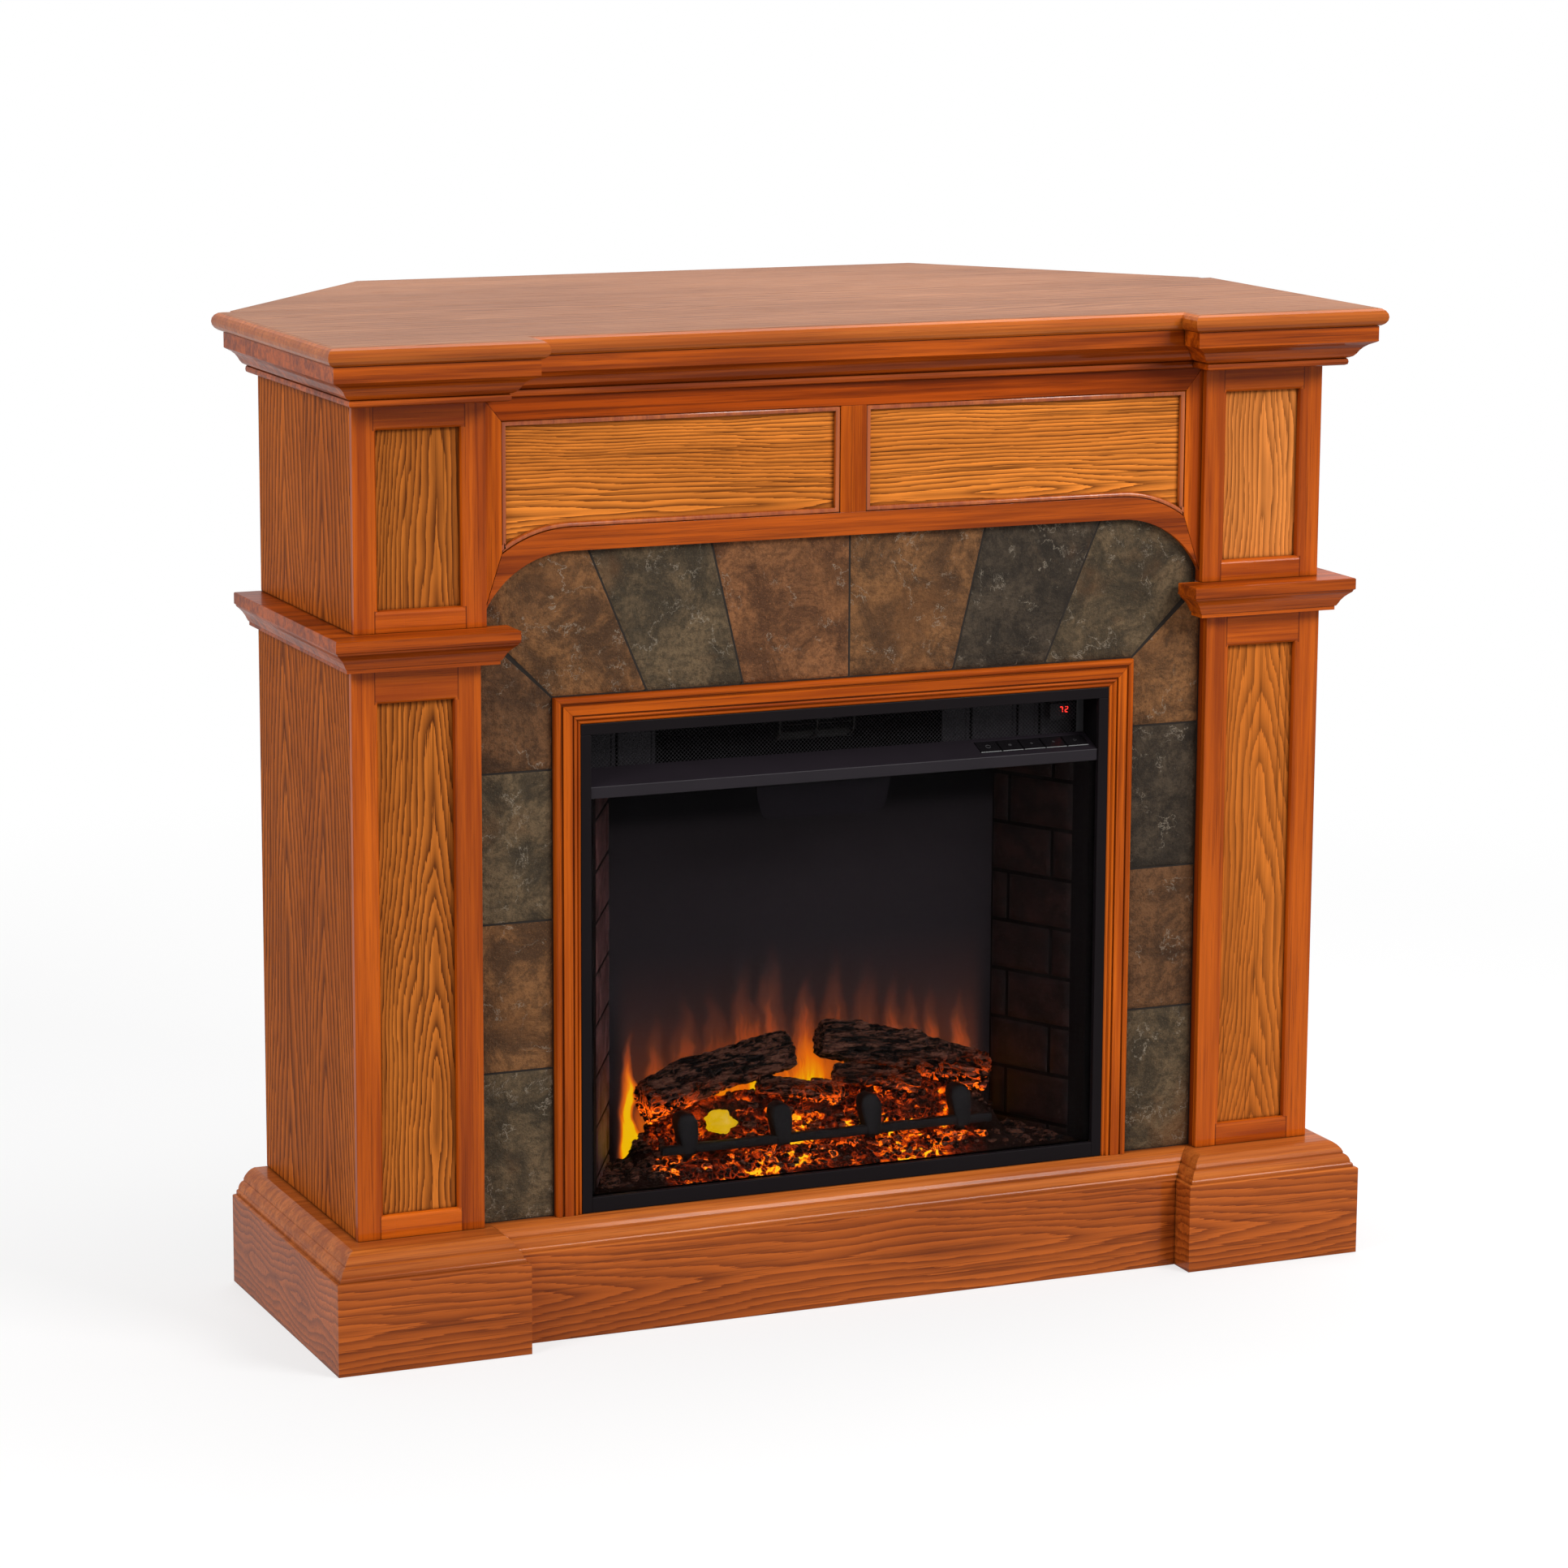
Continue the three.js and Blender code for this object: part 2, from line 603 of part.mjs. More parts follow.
// ---------------------------------------------------------------- slate tiles
{
  const slateBack = slateFront + slateThickness;
  const topEdge = trimOuterTop + touch;
  const innerX = trimOuter + touch;
  const upperLimit = upperInner - touch;
  const lowerLimit = lowerInner - touch;
  const cornerTop = beltTop - cornerUnderBelt;

  // A straight grout groove in the front face between two points.
  const groove = ([x0, z0], [x1, z1]) => {
    const length = Math.hypot(x1 - x0, z1 - z0);
    const tool = new THREE.BoxGeometry(length, 2 * groutDepth, groutWidth);
    tool.rotateY(-Math.atan2(z1 - z0, x1 - x0));
    return tool.translate((x0 + x1) / 2, slateFront, (z0 + z1) / 2);
  };

  const outline = [
    [-innerX, topEdge], [innerX, topEdge], [upperLimit, cornerTop],
    ...archLineFull(archRail / 2, upperLimit), [-upperLimit, cornerTop],
  ];
  const fan = fanJoints.flatMap(([low, high]) => (low === 0 ? [[low, high]] : [[-low, -high], [low, high]]));
  const grooves = fan.map(([low, high]) => {
    const lean = (high - low) / (archHeight - topEdge);
    const over = 20; // runs past both edges of the tiles
    return groove([low - lean * over, topEdge - over], [high + lean * over, archHeight + over]);
  });
  add('slate_top', cut(frontPlate(outline, slateFront, slateBack), ...grooves), slate);

  for (const [label, side] of sides) {
    const leg = [
      [innerX, plinthTop], [lowerLimit, plinthTop], [lowerLimit, beltBottom], [upperLimit, beltBottom],
      [upperLimit, cornerTop - 2 * touch], [innerX, topEdge - 2 * touch],
    ];
    const joints = [];
    for (let z = plinthTop + tileStart; z < topEdge - tilePitch / 3; z += tilePitch) {
      const across = mirrored(side, [[innerX - 5, z], [lowerLimit + 5, z]]);
      joints.push(groove(...across));
    }
    add(`slate_${label}`, cut(frontPlate(mirrored(side, leg), slateFront, slateBack), ...joints), slate);
  }
}

// ---------------------------------------------------------------- reeded trim
{
  // The section as [across the face from the outer edge, depth from the front].
  const section = [...trimReeds, [trimFace, trimDepth], [0, trimDepth]];
  const legLoops = (side) => [0, 1].map((end) => section.map(([u, depth]) => {
    const z = end === 0 ? plinthTop : trimOuterTop - u - touch;
    return new THREE.Vector3(side * (trimOuter - u), trimFront + depth, z);
  }));
  const topLoops = [-1, 1].map((end) => section.map(([u, depth]) =>
    new THREE.Vector3(end * (trimOuter - u), trimFront + depth, trimOuterTop - u)));
  add('trim_left', loft(legLoops(-1)), stain);
  add('trim_top', loft(topLoops), stain);
  add('trim_right', loft(legLoops(1)), stain);
}

// ---------------------------------------------------------------- bezel, glass, grille
{
  const half = insertWidth / 2;
  const topBar = insertTop - bezelTopBar;
  add('bezel_top', block(-half, half, bezelFront, bezelBack, topBar, insertTop), blackSteel);
  add('bezel_left', block(-half, -bezelInner, bezelFront, bezelBack, plinthTop, topBar), blackSteel);
  add('bezel_right', block(bezelInner, half, bezelFront, bezelBack, plinthTop, topBar), blackSteel);
  add('bezel_bottom', block(-bezelInner, bezelInner, bezelFront, bezelBack, plinthTop,
    plinthTop + bezelBottomBar), blackSteel);

  const glassHalf = bezelInner + glassTuck;
  add('glass', block(-glassHalf, glassHalf, bezelBack, glassBack,
    plinthTop + bezelBottomBar - glassTuck, wallTop), [0x30343a, 0.05, 0],
  { transparent: true, opacity: 0.35 });

  const grilleHalf = bezelInner - touch;
  const grilleBottom = ledgeBottom + grilleBorder;
  const grilleTop = roofBottom;
  const pitch = (2 * (grilleHalf - grilleBorder) + grilleBar) / grilleSlots;
  const grilleFront = ledgeBack;
  const slots = Array.from({ length: grilleSlots }, (_, i) => {
    const x = -grilleHalf + grilleBorder + i * pitch;
    return block(x, x + pitch - grilleBar, grilleFront - 1, grilleFront + sheet + 1,
      grilleBottom + grilleBorder, grilleTop - grilleBorder);
  });
  const grillePlate = block(-grilleHalf, grilleHalf, grilleFront, grilleFront + sheet,
    grilleBottom, grilleTop);
  add('vent_grille', cut(grillePlate, ...slots), blackSteel);
}

// ---------------------------------------------------------------- control ledge and keys
{
  const slope = Math.atan2(ledgeRise, ledgeDepth);
  const lipTop = ledgeBottom + ledgeLip;
  const half = bezelInner;
  const section = [
    [ledgeFront, ledgeBottom], [ledgeBack, ledgeBottom], [ledgeBack, lipTop + ledgeRise],
    [ledgeFront, lipTop],
  ];
  const rowWidth = keyCount * keyWidth + (keyCount - 1) * keyGap;
  const rowEnd = half - keyEndInset;
  const rowMiddle = rowEnd - rowWidth / 2;
  const seat = keySetback + keyDepth / 2;
  const onSlope = (along, above) => [
    ledgeFront + along * Math.cos(slope) - above * Math.sin(slope),
    lipTop + along * Math.sin(slope) + above * Math.cos(slope),
  ];

  // The keys share one sunk tray, deep enough for their travel.
  const trayDepth = keyHeight - keyProud + keyTravel + touch;
  const tray = new THREE.BoxGeometry(rowWidth + 2 * keyMargin, keyDepth + 2 * keyMargin, 2 * trayDepth);
  tray.rotateX(slope).translate(rowMiddle, ...onSlope(seat, 0));
  add('control_ledge', cut(crossBar(section, -half, half), tray), blackPlastic);

  for (let i = 0; i < keyCount; i++) {
    const chamfer = 0.5;
    const w = keyWidth / 2;
    const d = keyDepth / 2;
    const corners = [[-w, -d], [w, -d], [w, d], [-w, d]];
    const key = mouldedBoard(corners, [1, 1, 1, 1],
      [[0, 0], [0, keyHeight - chamfer], [chamfer, keyHeight]], -keyHeight);
    const mesh = add(`button_${i + 1}`, key, blackPlastic);
    mesh.rotation.x = slope;
    mesh.position.set(rowEnd - rowWidth + keyWidth / 2 + i * (keyWidth + keyGap), ...onSlope(seat, keyProud));
  }
}

// ---------------------------------------------------------------- firebox walls and screen
for (const [label, side] of sides) {
  const back = fireboxBackWidth / 2;
  const front = bezelInner - linerReveal;
  const outline = [
    [front, wallFront], [flangeHalf, wallFront], [flangeHalf, wallFront + wallFlange],
    [caseHalf, wallFront + wallFlange], [caseHalf, wallBack], [back, wallBack],
  ];
  add(`brick_wall_${label}`, flatPlate(mirrored(side, outline), trayTop, wallTop), [0x4a2f28, 0.85, 0]);
}
const screenHalf = fireboxBackWidth / 2 + screenLap;
add('flame_screen', block(-screenHalf, screenHalf, wallBack, screenBack, trayTop, wallTop),
  [0x0c0c0e, 0.15, 0]);

// ---------------------------------------------------------------- logs
// A log is a bent, tapering round with ridged bark between two end points.
function log(start, end, radius, taper, bend, phase, swell = 0) {
  const from = new THREE.Vector3(...start);
  const along = new THREE.Vector3(...end).sub(from);
  const axis = along.clone().normalize();
  const flat = new THREE.Vector3(-axis.y, axis.x, 0).normalize();
  const up = new THREE.Vector3().crossVectors(axis, flat);
  return loft(Array.from({ length: logRings + 1 }, (_, i) => {
    const t = i / logRings;
    const centre = from.clone().addScaledVector(along, t).addScaledVector(up, bend * Math.sin(Math.PI * t));
    const rounded = Math.min(1, 0.62 + 3.2 * Math.min(t, 1 - t));
    const size = (radius * (1 - taper * t)) * rounded + swell;
    return Array.from({ length: logSides }, (_, k) => {
      const angle = (2 * Math.PI * k) / logSides;
      const bark = 1 + 0.07 * Math.sin(3 * angle + phase) + 0.05 * Math.sin(7 * angle + 5 * t + phase);
      return centre.clone()
        .addScaledVector(flat, size * bark * Math.cos(angle))
        .addScaledVector(up, size * bark * Math.sin(angle));
    });
  }));
}

const bedFront = glassBack + bedSetback;
const bedBack = bedFront + bedDepth;
const logY = bedBack - logSetback;
const logEnds = (side, [outerX, outerRise], [innerX, innerRise]) => [
  [side * outerX, logY - logSkew * 0.7, trayTop + outerRise],
  [side * innerX, logY + logSkew * 0.3, trayTop + innerRise],
];
const logs = {
  log_left: [...logEnds(-1, logLeftOuter, logLeftInner), logLeftRadius, 0.06, logBend, 0.4],
  log_right: [...logEnds(1, logRightOuter, logRightInner), logRightRadius, 0.08, logBend, 1.9],
};
for (const [name, values] of Object.entries(logs)) {
  add(name, log(...values), [0x2c221d, 0.95, 0]);
}

// ---------------------------------------------------------------- ember bed with its grate
// Height of the heap over the tray. u and v are shares of its length and depth, from its middle.
function heapHeight(u, v) {
  const ends = Math.max(0, 1 - (2 * u) ** 4);
  const slope = 0.3 + 0.7 * Math.min(1, Math.max(0, v + 0.55));
  const lumps = Math.sin(61 * u + 5 * v) * Math.cos(17 * v + 23 * u) * Math.max(0, 1 - (2 * u) ** 6);
  return bedRise * ends * slope + lumpHeight * lumps;
}

{
  const tray = block(-caseHalf, caseHalf, trayFront, trayBack, plinthTop, trayTop);
  const heap = new THREE.BoxGeometry(bedWidth, bedDepth, trayHeight, heapColumns, heapRows, 1);
  const place = heap.attributes.position;
  for (let i = 0; i < place.count; i++) {
    if (place.getZ(i) > 0) {
      place.setZ(i, place.getZ(i) + heapHeight(place.getX(i) / bedWidth, place.getY(i) / bedDepth));
    }
  }
  heap.translate(0, (bedFront + bedBack) / 2, trayTop + trayHeight / 2 - seatDepth);

  // Cradles under the logs: blocks that rise from the heap and are cut to the logs' own shape.
  const cradles = cradlePlaces.map((x) => block(x - cradleWidth / 2, x + cradleWidth / 2,
    logY - cradleDepth / 2, logY + cradleDepth / 2, trayTop, trayTop + cradleHeight));

  // Grate: a bar along the front of the heap on upright posts.
  const grateY = bedFront + grateSetback;
  const barBottom = trayTop + grateHeight - grateSection;
  const half = grateLength / 2;
  const bar = block(-half, half, grateY, grateY + grateSection, barBottom, trayTop + grateHeight);
  const postPitch = grateLength / gratePosts;
  const posts = Array.from({ length: gratePosts }, (_, i) => {
    const x = -half + postPitch * (i + 0.5);
    return block(x - grateSection / 2, x + grateSection / 2, grateY, grateY + grateSection,
      trayTop - seatDepth, trayTop + grateHeight + gratePostHeight);
  });
  const clearLogs = Object.values(logs).map((values) => log(...values, touch));
  add('ember_bed', cut(join(tray, heap, ...cradles, bar, ...posts), ...clearLogs), [0x3a1a10, 0.9, 0]);
}

// ---------------------------------------------------------------- case back with the rotor's bearings
const rotorY = caseBackInner - rotorSetback;
const rotorZ = plinthTop + rotorHeight;
{
  const plate = block(-caseHalf, caseHalf, caseBackInner, caseBackOuter, plinthTop, insertTop);
  const returns = sides.map(([, side]) => {
    const [x0, x1] = span(side, caseHalf - sheet, caseHalf);
    return block(x0, x1, trayBack + touch, caseBackOuter, plinthTop, roofBottom);
  });
  const ears = [-1, 1].map((side) => {
    const x = (side * rotorEarSpacing) / 2;
    return block(x - earSheet / 2, x + earSheet / 2, rotorY - earHalfWidth, caseBackInner + sheet / 2,
      rotorZ - earHalfWidth, rotorZ + earHalfWidth);
  });
  const bore = rodAlongX(shaftRadius + shaftClearance, -rotorEarSpacing, rotorEarSpacing, rotorY, rotorZ);
  const intakes = Array.from({ length: intakeSlots }, (_, i) => {
    const x = (i - (intakeSlots - 1) / 2) * intakePitch;
    return block(x - intakeWidth / 2, x + intakeWidth / 2, caseBackInner - 1, caseBackOuter + 1,
      wallTop - intakeDrop, wallTop - intakeDrop + intakeHeight);
  });
  add('case_back', cut(join(plate, ...returns, ...ears), bore, ...intakes), blackSteel);
}

// Flame rotor: a long spindle with twisted reflector paddles.
{
  const spindle = rodAlongX(shaftRadius, -rotorSpan / 2, rotorSpan / 2, 0, 0);
  const pitch = (rotorSpan - paddleWidth) / (rotorPaddles - 1);
  const paddles = Array.from({ length: rotorPaddles }, (_, i) => {
    const x = -rotorSpan / 2 + paddleWidth / 2 + i * pitch;
    const paddle = new THREE.BoxGeometry(paddleWidth * paddleFill, 2 * paddleRadius, paddleSheet);
    return paddle.rotateX(i * paddleTwist).translate(x, 0, 0);
  });
  const clearOfEars = paddles.filter((paddle) => {
    paddle.computeBoundingBox();
    const { min, max } = paddle.boundingBox;
    const ear = rotorEarSpacing / 2;
    return [-ear, ear].every((x) => max.x < x - earSheet || min.x > x + earSheet);
  });
  const rotor = add('flame_rotor', join(spindle, ...clearOfEars), zinc);
  rotor.position.set(0, rotorY, rotorZ);
}

// ---------------------------------------------------------------- heater compartment
const wheelY = caseBackInner - wheelSetback;
const wheelZ = roofBottom - wheelDrop;
{
  const roof = block(-caseHalf, caseHalf, bezelBack, caseBackInner, roofBottom, insertTop);
  const cheeks = sides.flatMap(([, side]) => [
    block(...span(side, bezelInner, caseHalf), bezelBack, trayBack,
      ledgeBottom, roofBottom + sheet / 2),
    block(...span(side, bezelInner, flangeHalf), bezelBack, bezelBack + sheet,
      ledgeBottom, insertTop - sheet),
  ]);
  const earInner = wheelLength / 2 + shaftRadius;
  const ears = [-1, 1].map((side) => {
    const [x0, x1] = span(side, earInner, earInner + earSheet);
    return block(x0, x1, wheelY - earHalfWidth, wheelY + earHalfWidth,
      wheelZ - earHalfWidth, roofBottom + sheet / 2);
  });
  const bore = rodAlongX(shaftRadius + shaftClearance, -wheelLength, wheelLength, wheelY, wheelZ);
  add('heater_housing', cut(join(roof, ...cheeks, ...ears), bore), blackSteel);
}

// Blower wheel: a squirrel cage on its shaft.
{
  const reach = wheelLength / 2;
  const shaft = rodAlongX(shaftRadius, -reach - 3 * shaftRadius, reach + 3 * shaftRadius, 0, 0, 12);
  const discs = [-1, 0, 1].map((place) => {
    const x = place * (reach - wheelDisc / 2);
    return rodAlongX(wheelRadius, x - wheelDisc / 2, x + wheelDisc / 2, 0, 0, 24);
  });
  const blades = Array.from({ length: wheelBlades }, (_, i) => {
    const blade = new THREE.BoxGeometry(2 * reach - wheelDisc, bladeDepth, bladeSheet);
    blade.rotateX(bladeLean).translate(0, wheelRadius - bladeInset, 0);
    return blade.rotateX((2 * Math.PI * i) / wheelBlades);
  });
  const wheel = add('blower_wheel', join(shaft, ...discs, ...blades), zinc);
  wheel.position.set(0, wheelY, wheelZ);
}

// ---------------------------------------------------------------- cable gland
{
  const profile = [
    [glandBore, 0], [glandRadius + glandFlange, 0], [glandRadius + glandFlange, glandFlange],
    [glandRadius, glandFlange + 1], [glandRadius - glandTaper, glandLength], [glandBore, glandLength],
    [glandBore, 0],
  ].map(([r, h]) => new THREE.Vector2(r, h));
  const gland = add('cord_gland', new THREE.LatheGeometry(profile, 20), blackPlastic);
  gland.position.set(-caseHalf + glandInset, caseBackOuter, plinthTop + glandHeight);
}

// ---------------------------------------------------------------- drop leaf and its hinge
{
  const leafHalf = halfTop - earWidth - leafGap;
  const rearHalf = leafRearWidth / 2;
  const cornerY = seamY + earLength;
  add('rear_leaf', flatPlate([
    [-leafHalf, seamY + leafGap], [leafHalf, seamY + leafGap], [leafHalf, cornerY],
    [rearHalf, leafRear], [-rearHalf, leafRear], [-leafHalf, cornerY],
  ], topBottom, mantelHeight), veneer);

  const pitch = hingeLength / hingeKnuckles;
  const start = -hingeLength / 2;
  const flapInner = knuckleRadius + touch;
  const flapBottom = topBottom - hingeSheet;
  const knuckles = (odd) => {
    const pieces = [];
    for (let i = odd; i < hingeKnuckles; i += 2) {
      const x0 = start + i * pitch + knuckleGap / 2;
      const x1 = x0 + pitch - knuckleGap;
      const [linkA, linkB] = odd ? [hingeY, hingeY + flapInner + 1] : [hingeY - flapInner - 1, hingeY];
      pieces.push(rodAlongX(knuckleRadius, x0, x1, hingeY, hingeZ, 16));
      pieces.push(block(x0, x1, linkA, linkB, flapBottom, topBottom - touch));
    }
    return pieces;
  };
  const pin = rodAlongX(pinRadius, start, -start, hingeY, hingeZ, 12);
  const pinBore = rodAlongX(pinRadius + touch, start - 1, 1 - start, hingeY, hingeZ, 12);
  const flap = (front, back) => block(start, -start, hingeY + front, hingeY + back, flapBottom, topBottom);
  const fixedFlap = flap(-flapInner - hingeFlap, -flapInner);
  const movingFlap = flap(flapInner, flapInner + hingeFlap);
  add('leaf_hinge_fixed', join(fixedFlap, ...knuckles(0), pin), zinc);
  add('leaf_hinge_moving', cut(join(movingFlap, ...knuckles(1)), pinBore), zinc);
}

mantel.position.y = -(topFront + leafRear) / 2;

export default mantel;
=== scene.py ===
"""Corner fireplace: finishes, firebox detail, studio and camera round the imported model."""

import math
import random

import bmesh
import bpy
from mathutils import Matrix, Vector, noise


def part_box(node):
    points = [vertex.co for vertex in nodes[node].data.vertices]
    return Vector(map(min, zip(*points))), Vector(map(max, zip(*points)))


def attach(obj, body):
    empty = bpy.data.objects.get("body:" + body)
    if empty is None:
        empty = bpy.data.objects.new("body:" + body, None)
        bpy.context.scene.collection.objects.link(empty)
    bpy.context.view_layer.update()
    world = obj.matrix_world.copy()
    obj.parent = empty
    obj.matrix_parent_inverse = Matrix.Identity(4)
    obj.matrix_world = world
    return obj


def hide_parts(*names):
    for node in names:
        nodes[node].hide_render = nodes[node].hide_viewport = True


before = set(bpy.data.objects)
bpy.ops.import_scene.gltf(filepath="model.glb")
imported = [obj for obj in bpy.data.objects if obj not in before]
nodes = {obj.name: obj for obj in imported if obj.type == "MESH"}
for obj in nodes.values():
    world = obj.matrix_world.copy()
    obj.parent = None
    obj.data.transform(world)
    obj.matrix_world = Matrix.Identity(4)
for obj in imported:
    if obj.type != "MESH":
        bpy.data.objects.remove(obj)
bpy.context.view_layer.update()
MANTEL = "mantel"
SIDES = (("left", -1), ("right", 1))

# The part's own layout, in millimetres from the front of the plinth, and its middle in depth.
FOOTPRINT_MIDDLE = 318.5


def at(x, y, z):
    """A place given in the part's millimetres, in metres in the row frame."""
    return Vector((x / 1000, (y - FOOTPRINT_MIDDLE) / 1000, z / 1000))


# ------------------------------------------------------------------ node trees
SHADER_INPUTS = {
    "colour": "Base Color", "roughness": "Roughness", "metallic": "Metallic", "ior": "IOR",
    "specular": "Specular IOR Level", "coat": "Coat Weight", "coat_roughness": "Coat Roughness",
    "transmission": "Transmission Weight", "glow": "Emission Color", "glow_strength": "Emission Strength",
}


class Finish:
    """A material with a Principled shader, and short calls to build what feeds it."""

    def __init__(self, name):
        self.material = bpy.data.materials.new(name)
        self.material.use_nodes = True
        self.tree = self.material.node_tree
        self.shader = self.tree.nodes["Principled BSDF"]
        self.place = self.node("TexCoord").outputs["Object"]

    def feed(self, socket, value):
        if isinstance(value, bpy.types.NodeSocket):
            self.tree.links.new(value, socket)
        else:
            socket.default_value = value

    def node(self, kind, feeds=None, **settings):
        made = self.tree.nodes.new("ShaderNode" + kind)
        for name, value in settings.items():
            setattr(made, name, value)
        for name, value in (feeds or {}).items():
            self.feed(made.inputs[name], value)
        return made

    def math(self, operation, first, second=0.0, clamp=False):
        return self.node("Math", {0: first, 1: second}, operation=operation, use_clamp=clamp).outputs[0]

    def plus(self, first, second, clamp=False):
        return self.math("ADD", first, second, clamp)

    def minus(self, first, second, clamp=False):
        return self.math("SUBTRACT", first, second, clamp)

    def times(self, first, second, clamp=False):
        return self.math("MULTIPLY", first, second, clamp)

    def over(self, first, second):
        return self.math("DIVIDE", first, second)

    def power(self, first, second):
        return self.math("POWER", first, second)

    def absolute(self, value):
        return self.math("ABSOLUTE", value)

    def inverse(self, value, clamp=False):
        return self.math("SUBTRACT", 1.0, value, clamp)

    def axes(self, vector=None):
        split = self.node("SeparateXYZ", {0: vector or self.place})
        return split.outputs[0], split.outputs[1], split.outputs[2]

    def scaled(self, scale, offset=(0, 0, 0), vector=None):
        moved = self.node("VectorMath", {0: vector or self.place, 1: offset}, operation="ADD")
        return self.node("VectorMath", {0: moved.outputs[0], 1: scale}, operation="MULTIPLY").outputs[0]

    def cloud(self, vector, scale=1.0, detail=3.0, roughness=0.55, distortion=0.0):
        feeds = {"Vector": vector, "Scale": scale, "Detail": detail, "Roughness": roughness,
                 "Distortion": distortion}
        return self.node("TexNoise", feeds).outputs["Fac"]

    def ramp(self, value, stops, interpolation="LINEAR"):
        made = self.node("ValToRGB", {0: value})
        made.color_ramp.interpolation = interpolation
        elements = made.color_ramp.elements
        while len(elements) < len(stops):
            elements.new(1.0)
        for element, (position, colour) in zip(elements, stops):
            element.position = position
            element.color = (*colour, 1) if len(colour) == 3 else colour
        return made.outputs[0]

    def step(self, value, low, high):
        feeds = {"Value": value, "From Min": low, "From Max": high}
        return self.node("MapRange", feeds, interpolation_type="SMOOTHSTEP").outputs[0]

    def mix(self, factor, first, second, blend="MIX"):
        made = self.node("Mix", data_type="RGBA", blend_type=blend)
        self.feed(made.inputs[0], factor)
        for socket, value in ((made.inputs[6], first), (made.inputs[7], second)):
            self.feed(socket, (*value, 1) if isinstance(value, tuple) and len(value) == 3 else value)
        return made.outputs[2]

    def bump(self, height, distance, strength=1.0):
        feeds = {"Height": height, "Distance": distance, "Strength": strength}
        self.feed(self.shader.inputs["Normal"], self.node("Bump", feeds).outputs[0])

    def set(self, **values):
        for key, value in values.items():
            if isinstance(value, tuple) and len(value) == 3:
                value = (*value, 1)
            self.feed(self.shader.inputs[SHADER_INPUTS[key]], value)
        return self.material


# ------------------------------------------------------------------ wood finishes
AXIS_NUMBER = {"x": 0, "z": 2}
# Painted shade: the dark colour, and the reach of the occlusion that darkens quirks and joints.
PAINTED_SHADE = (0.055, 0.012, 0.0015)
PAINTED_SHADE_REACH = 0.007
PORE_DEPTH = 0.00015
FRAME_BEAD = 0.0038
SEAM_FADE = (0.0002, 0.0011)
END_GRAIN = 0.0004


def grain_scale(along, across_scale, along_scale):
    scale = [across_scale] * 3
    scale[AXIS_NUMBER[along]] = along_scale
    return tuple(scale)


def ring_lines(wood, along, offset, fibres, figure):
    """Flat-sawn figure: dark lines of early wood in long arches, sharp on one side and fading away."""
    places = wood.axes()
    run_axis = AXIS_NUMBER[along]
    across = next(i for i in range(3) if i not in (run_axis, figure["face"]))
    wander = wood.cloud(wood.scaled(grain_scale(along, 9, 2.4), offset), detail=3, roughness=0.5)
    drift = wood.times(wood.minus(wander, 0.5), figure["drift"])
    out = wood.absolute(wood.minus(places[across], figure["middle"]))
    out = wood.absolute(wood.minus(out, figure.get("leaf", 0.0)))
    bow = wood.times(wood.power(out, 1.2), figure["spread"])
    run = wood.times(places[run_axis], figure["pull"])
    ragged = wood.times(fibres, figure.get("ragged", 0.8))
    phase = wood.plus(wood.plus(wood.plus(bow, run), drift), ragged)
    fade = wood.power(wood.inverse(wood.math("FRACT", phase)), figure.get("edge", 1.5))
    return wood.times(fade, wood.plus(0.45, wood.times(fibres, 1.3)), clamp=True)


def grain(wood, along, seed, light, dark, figure, contrast):
    """Colour, pores and streaks of stained oak whose grain runs along one axis."""
    offset = (seed * 0.37, seed * 0.53, seed * 0.29)
    broad = wood.cloud(wood.scaled(grain_scale(along, 8, 1.8), offset), detail=2)
    streaks = wood.cloud(wood.scaled(grain_scale(along, 170, 4.0), offset), detail=4, roughness=0.6)
    fibres = wood.cloud(wood.scaled(grain_scale(along, 800, 13), offset), detail=3, roughness=0.65)
    pores = wood.step(fibres, 0.55, 0.72)
    if figure:
        tone = ring_lines(wood, along, offset, fibres, figure)
    else:
        bands = wood.cloud(wood.scaled(grain_scale(along, 48, 1.6), offset), detail=3, distortion=0.4)
        tone = wood.plus(wood.times(bands, 0.6), wood.times(streaks, 0.4))
        tone = wood.step(tone, 0.38, 0.62)
    body = wood.mix(wood.times(tone, contrast), light, dark)
    hair = wood.cloud(wood.scaled(grain_scale(along, 230, 3.0), offset), detail=5, roughness=0.7)
    hairs = wood.step(hair, 0.55, 0.66)
    body = wood.mix(wood.times(pores, 0.45), body, tuple(c * 0.45 for c in dark))
    body = wood.mix(wood.times(hairs, 0.55), body, tuple(c * 0.5 for c in dark))
    body = wood.mix(wood.times(wood.step(streaks, 0.38, 0.68), 0.22), body, dark)
    lift = wood.ramp(broad, ((0.25, (0.78, 0.72, 0.66)), (0.75, (1.22, 1.27, 1.32))))
    return wood.mix(1.0, body, lift, "MULTIPLY"), pores, streaks


def varnish(wood, body, pores, streaks, gloss, coat, shine=0.03):
    """Varnish over painted shade: the colour darkened in the quirks and along the joints where ambient
    occlusion finds them.
    """
    # Painted shade: occlusion darkens the colour itself in the quirks and joints.
    openness = wood.node("AmbientOcclusion", {"Distance": PAINTED_SHADE_REACH}, samples=6).outputs["AO"]
    shade_in_quirks = wood.inverse(wood.step(openness, 0.25, 0.85))
    body = wood.mix(wood.times(shade_in_quirks, 0.75), body, PAINTED_SHADE)
    relief = wood.minus(wood.times(streaks, 0.3), pores)
    wood.bump(relief, PORE_DEPTH, 0.6)
    roughness = wood.plus(gloss, wood.times(pores, 0.15))
    wood.set(colour=body, roughness=roughness, specular=shine, coat=coat, coat_roughness=0.10)
    return wood.material


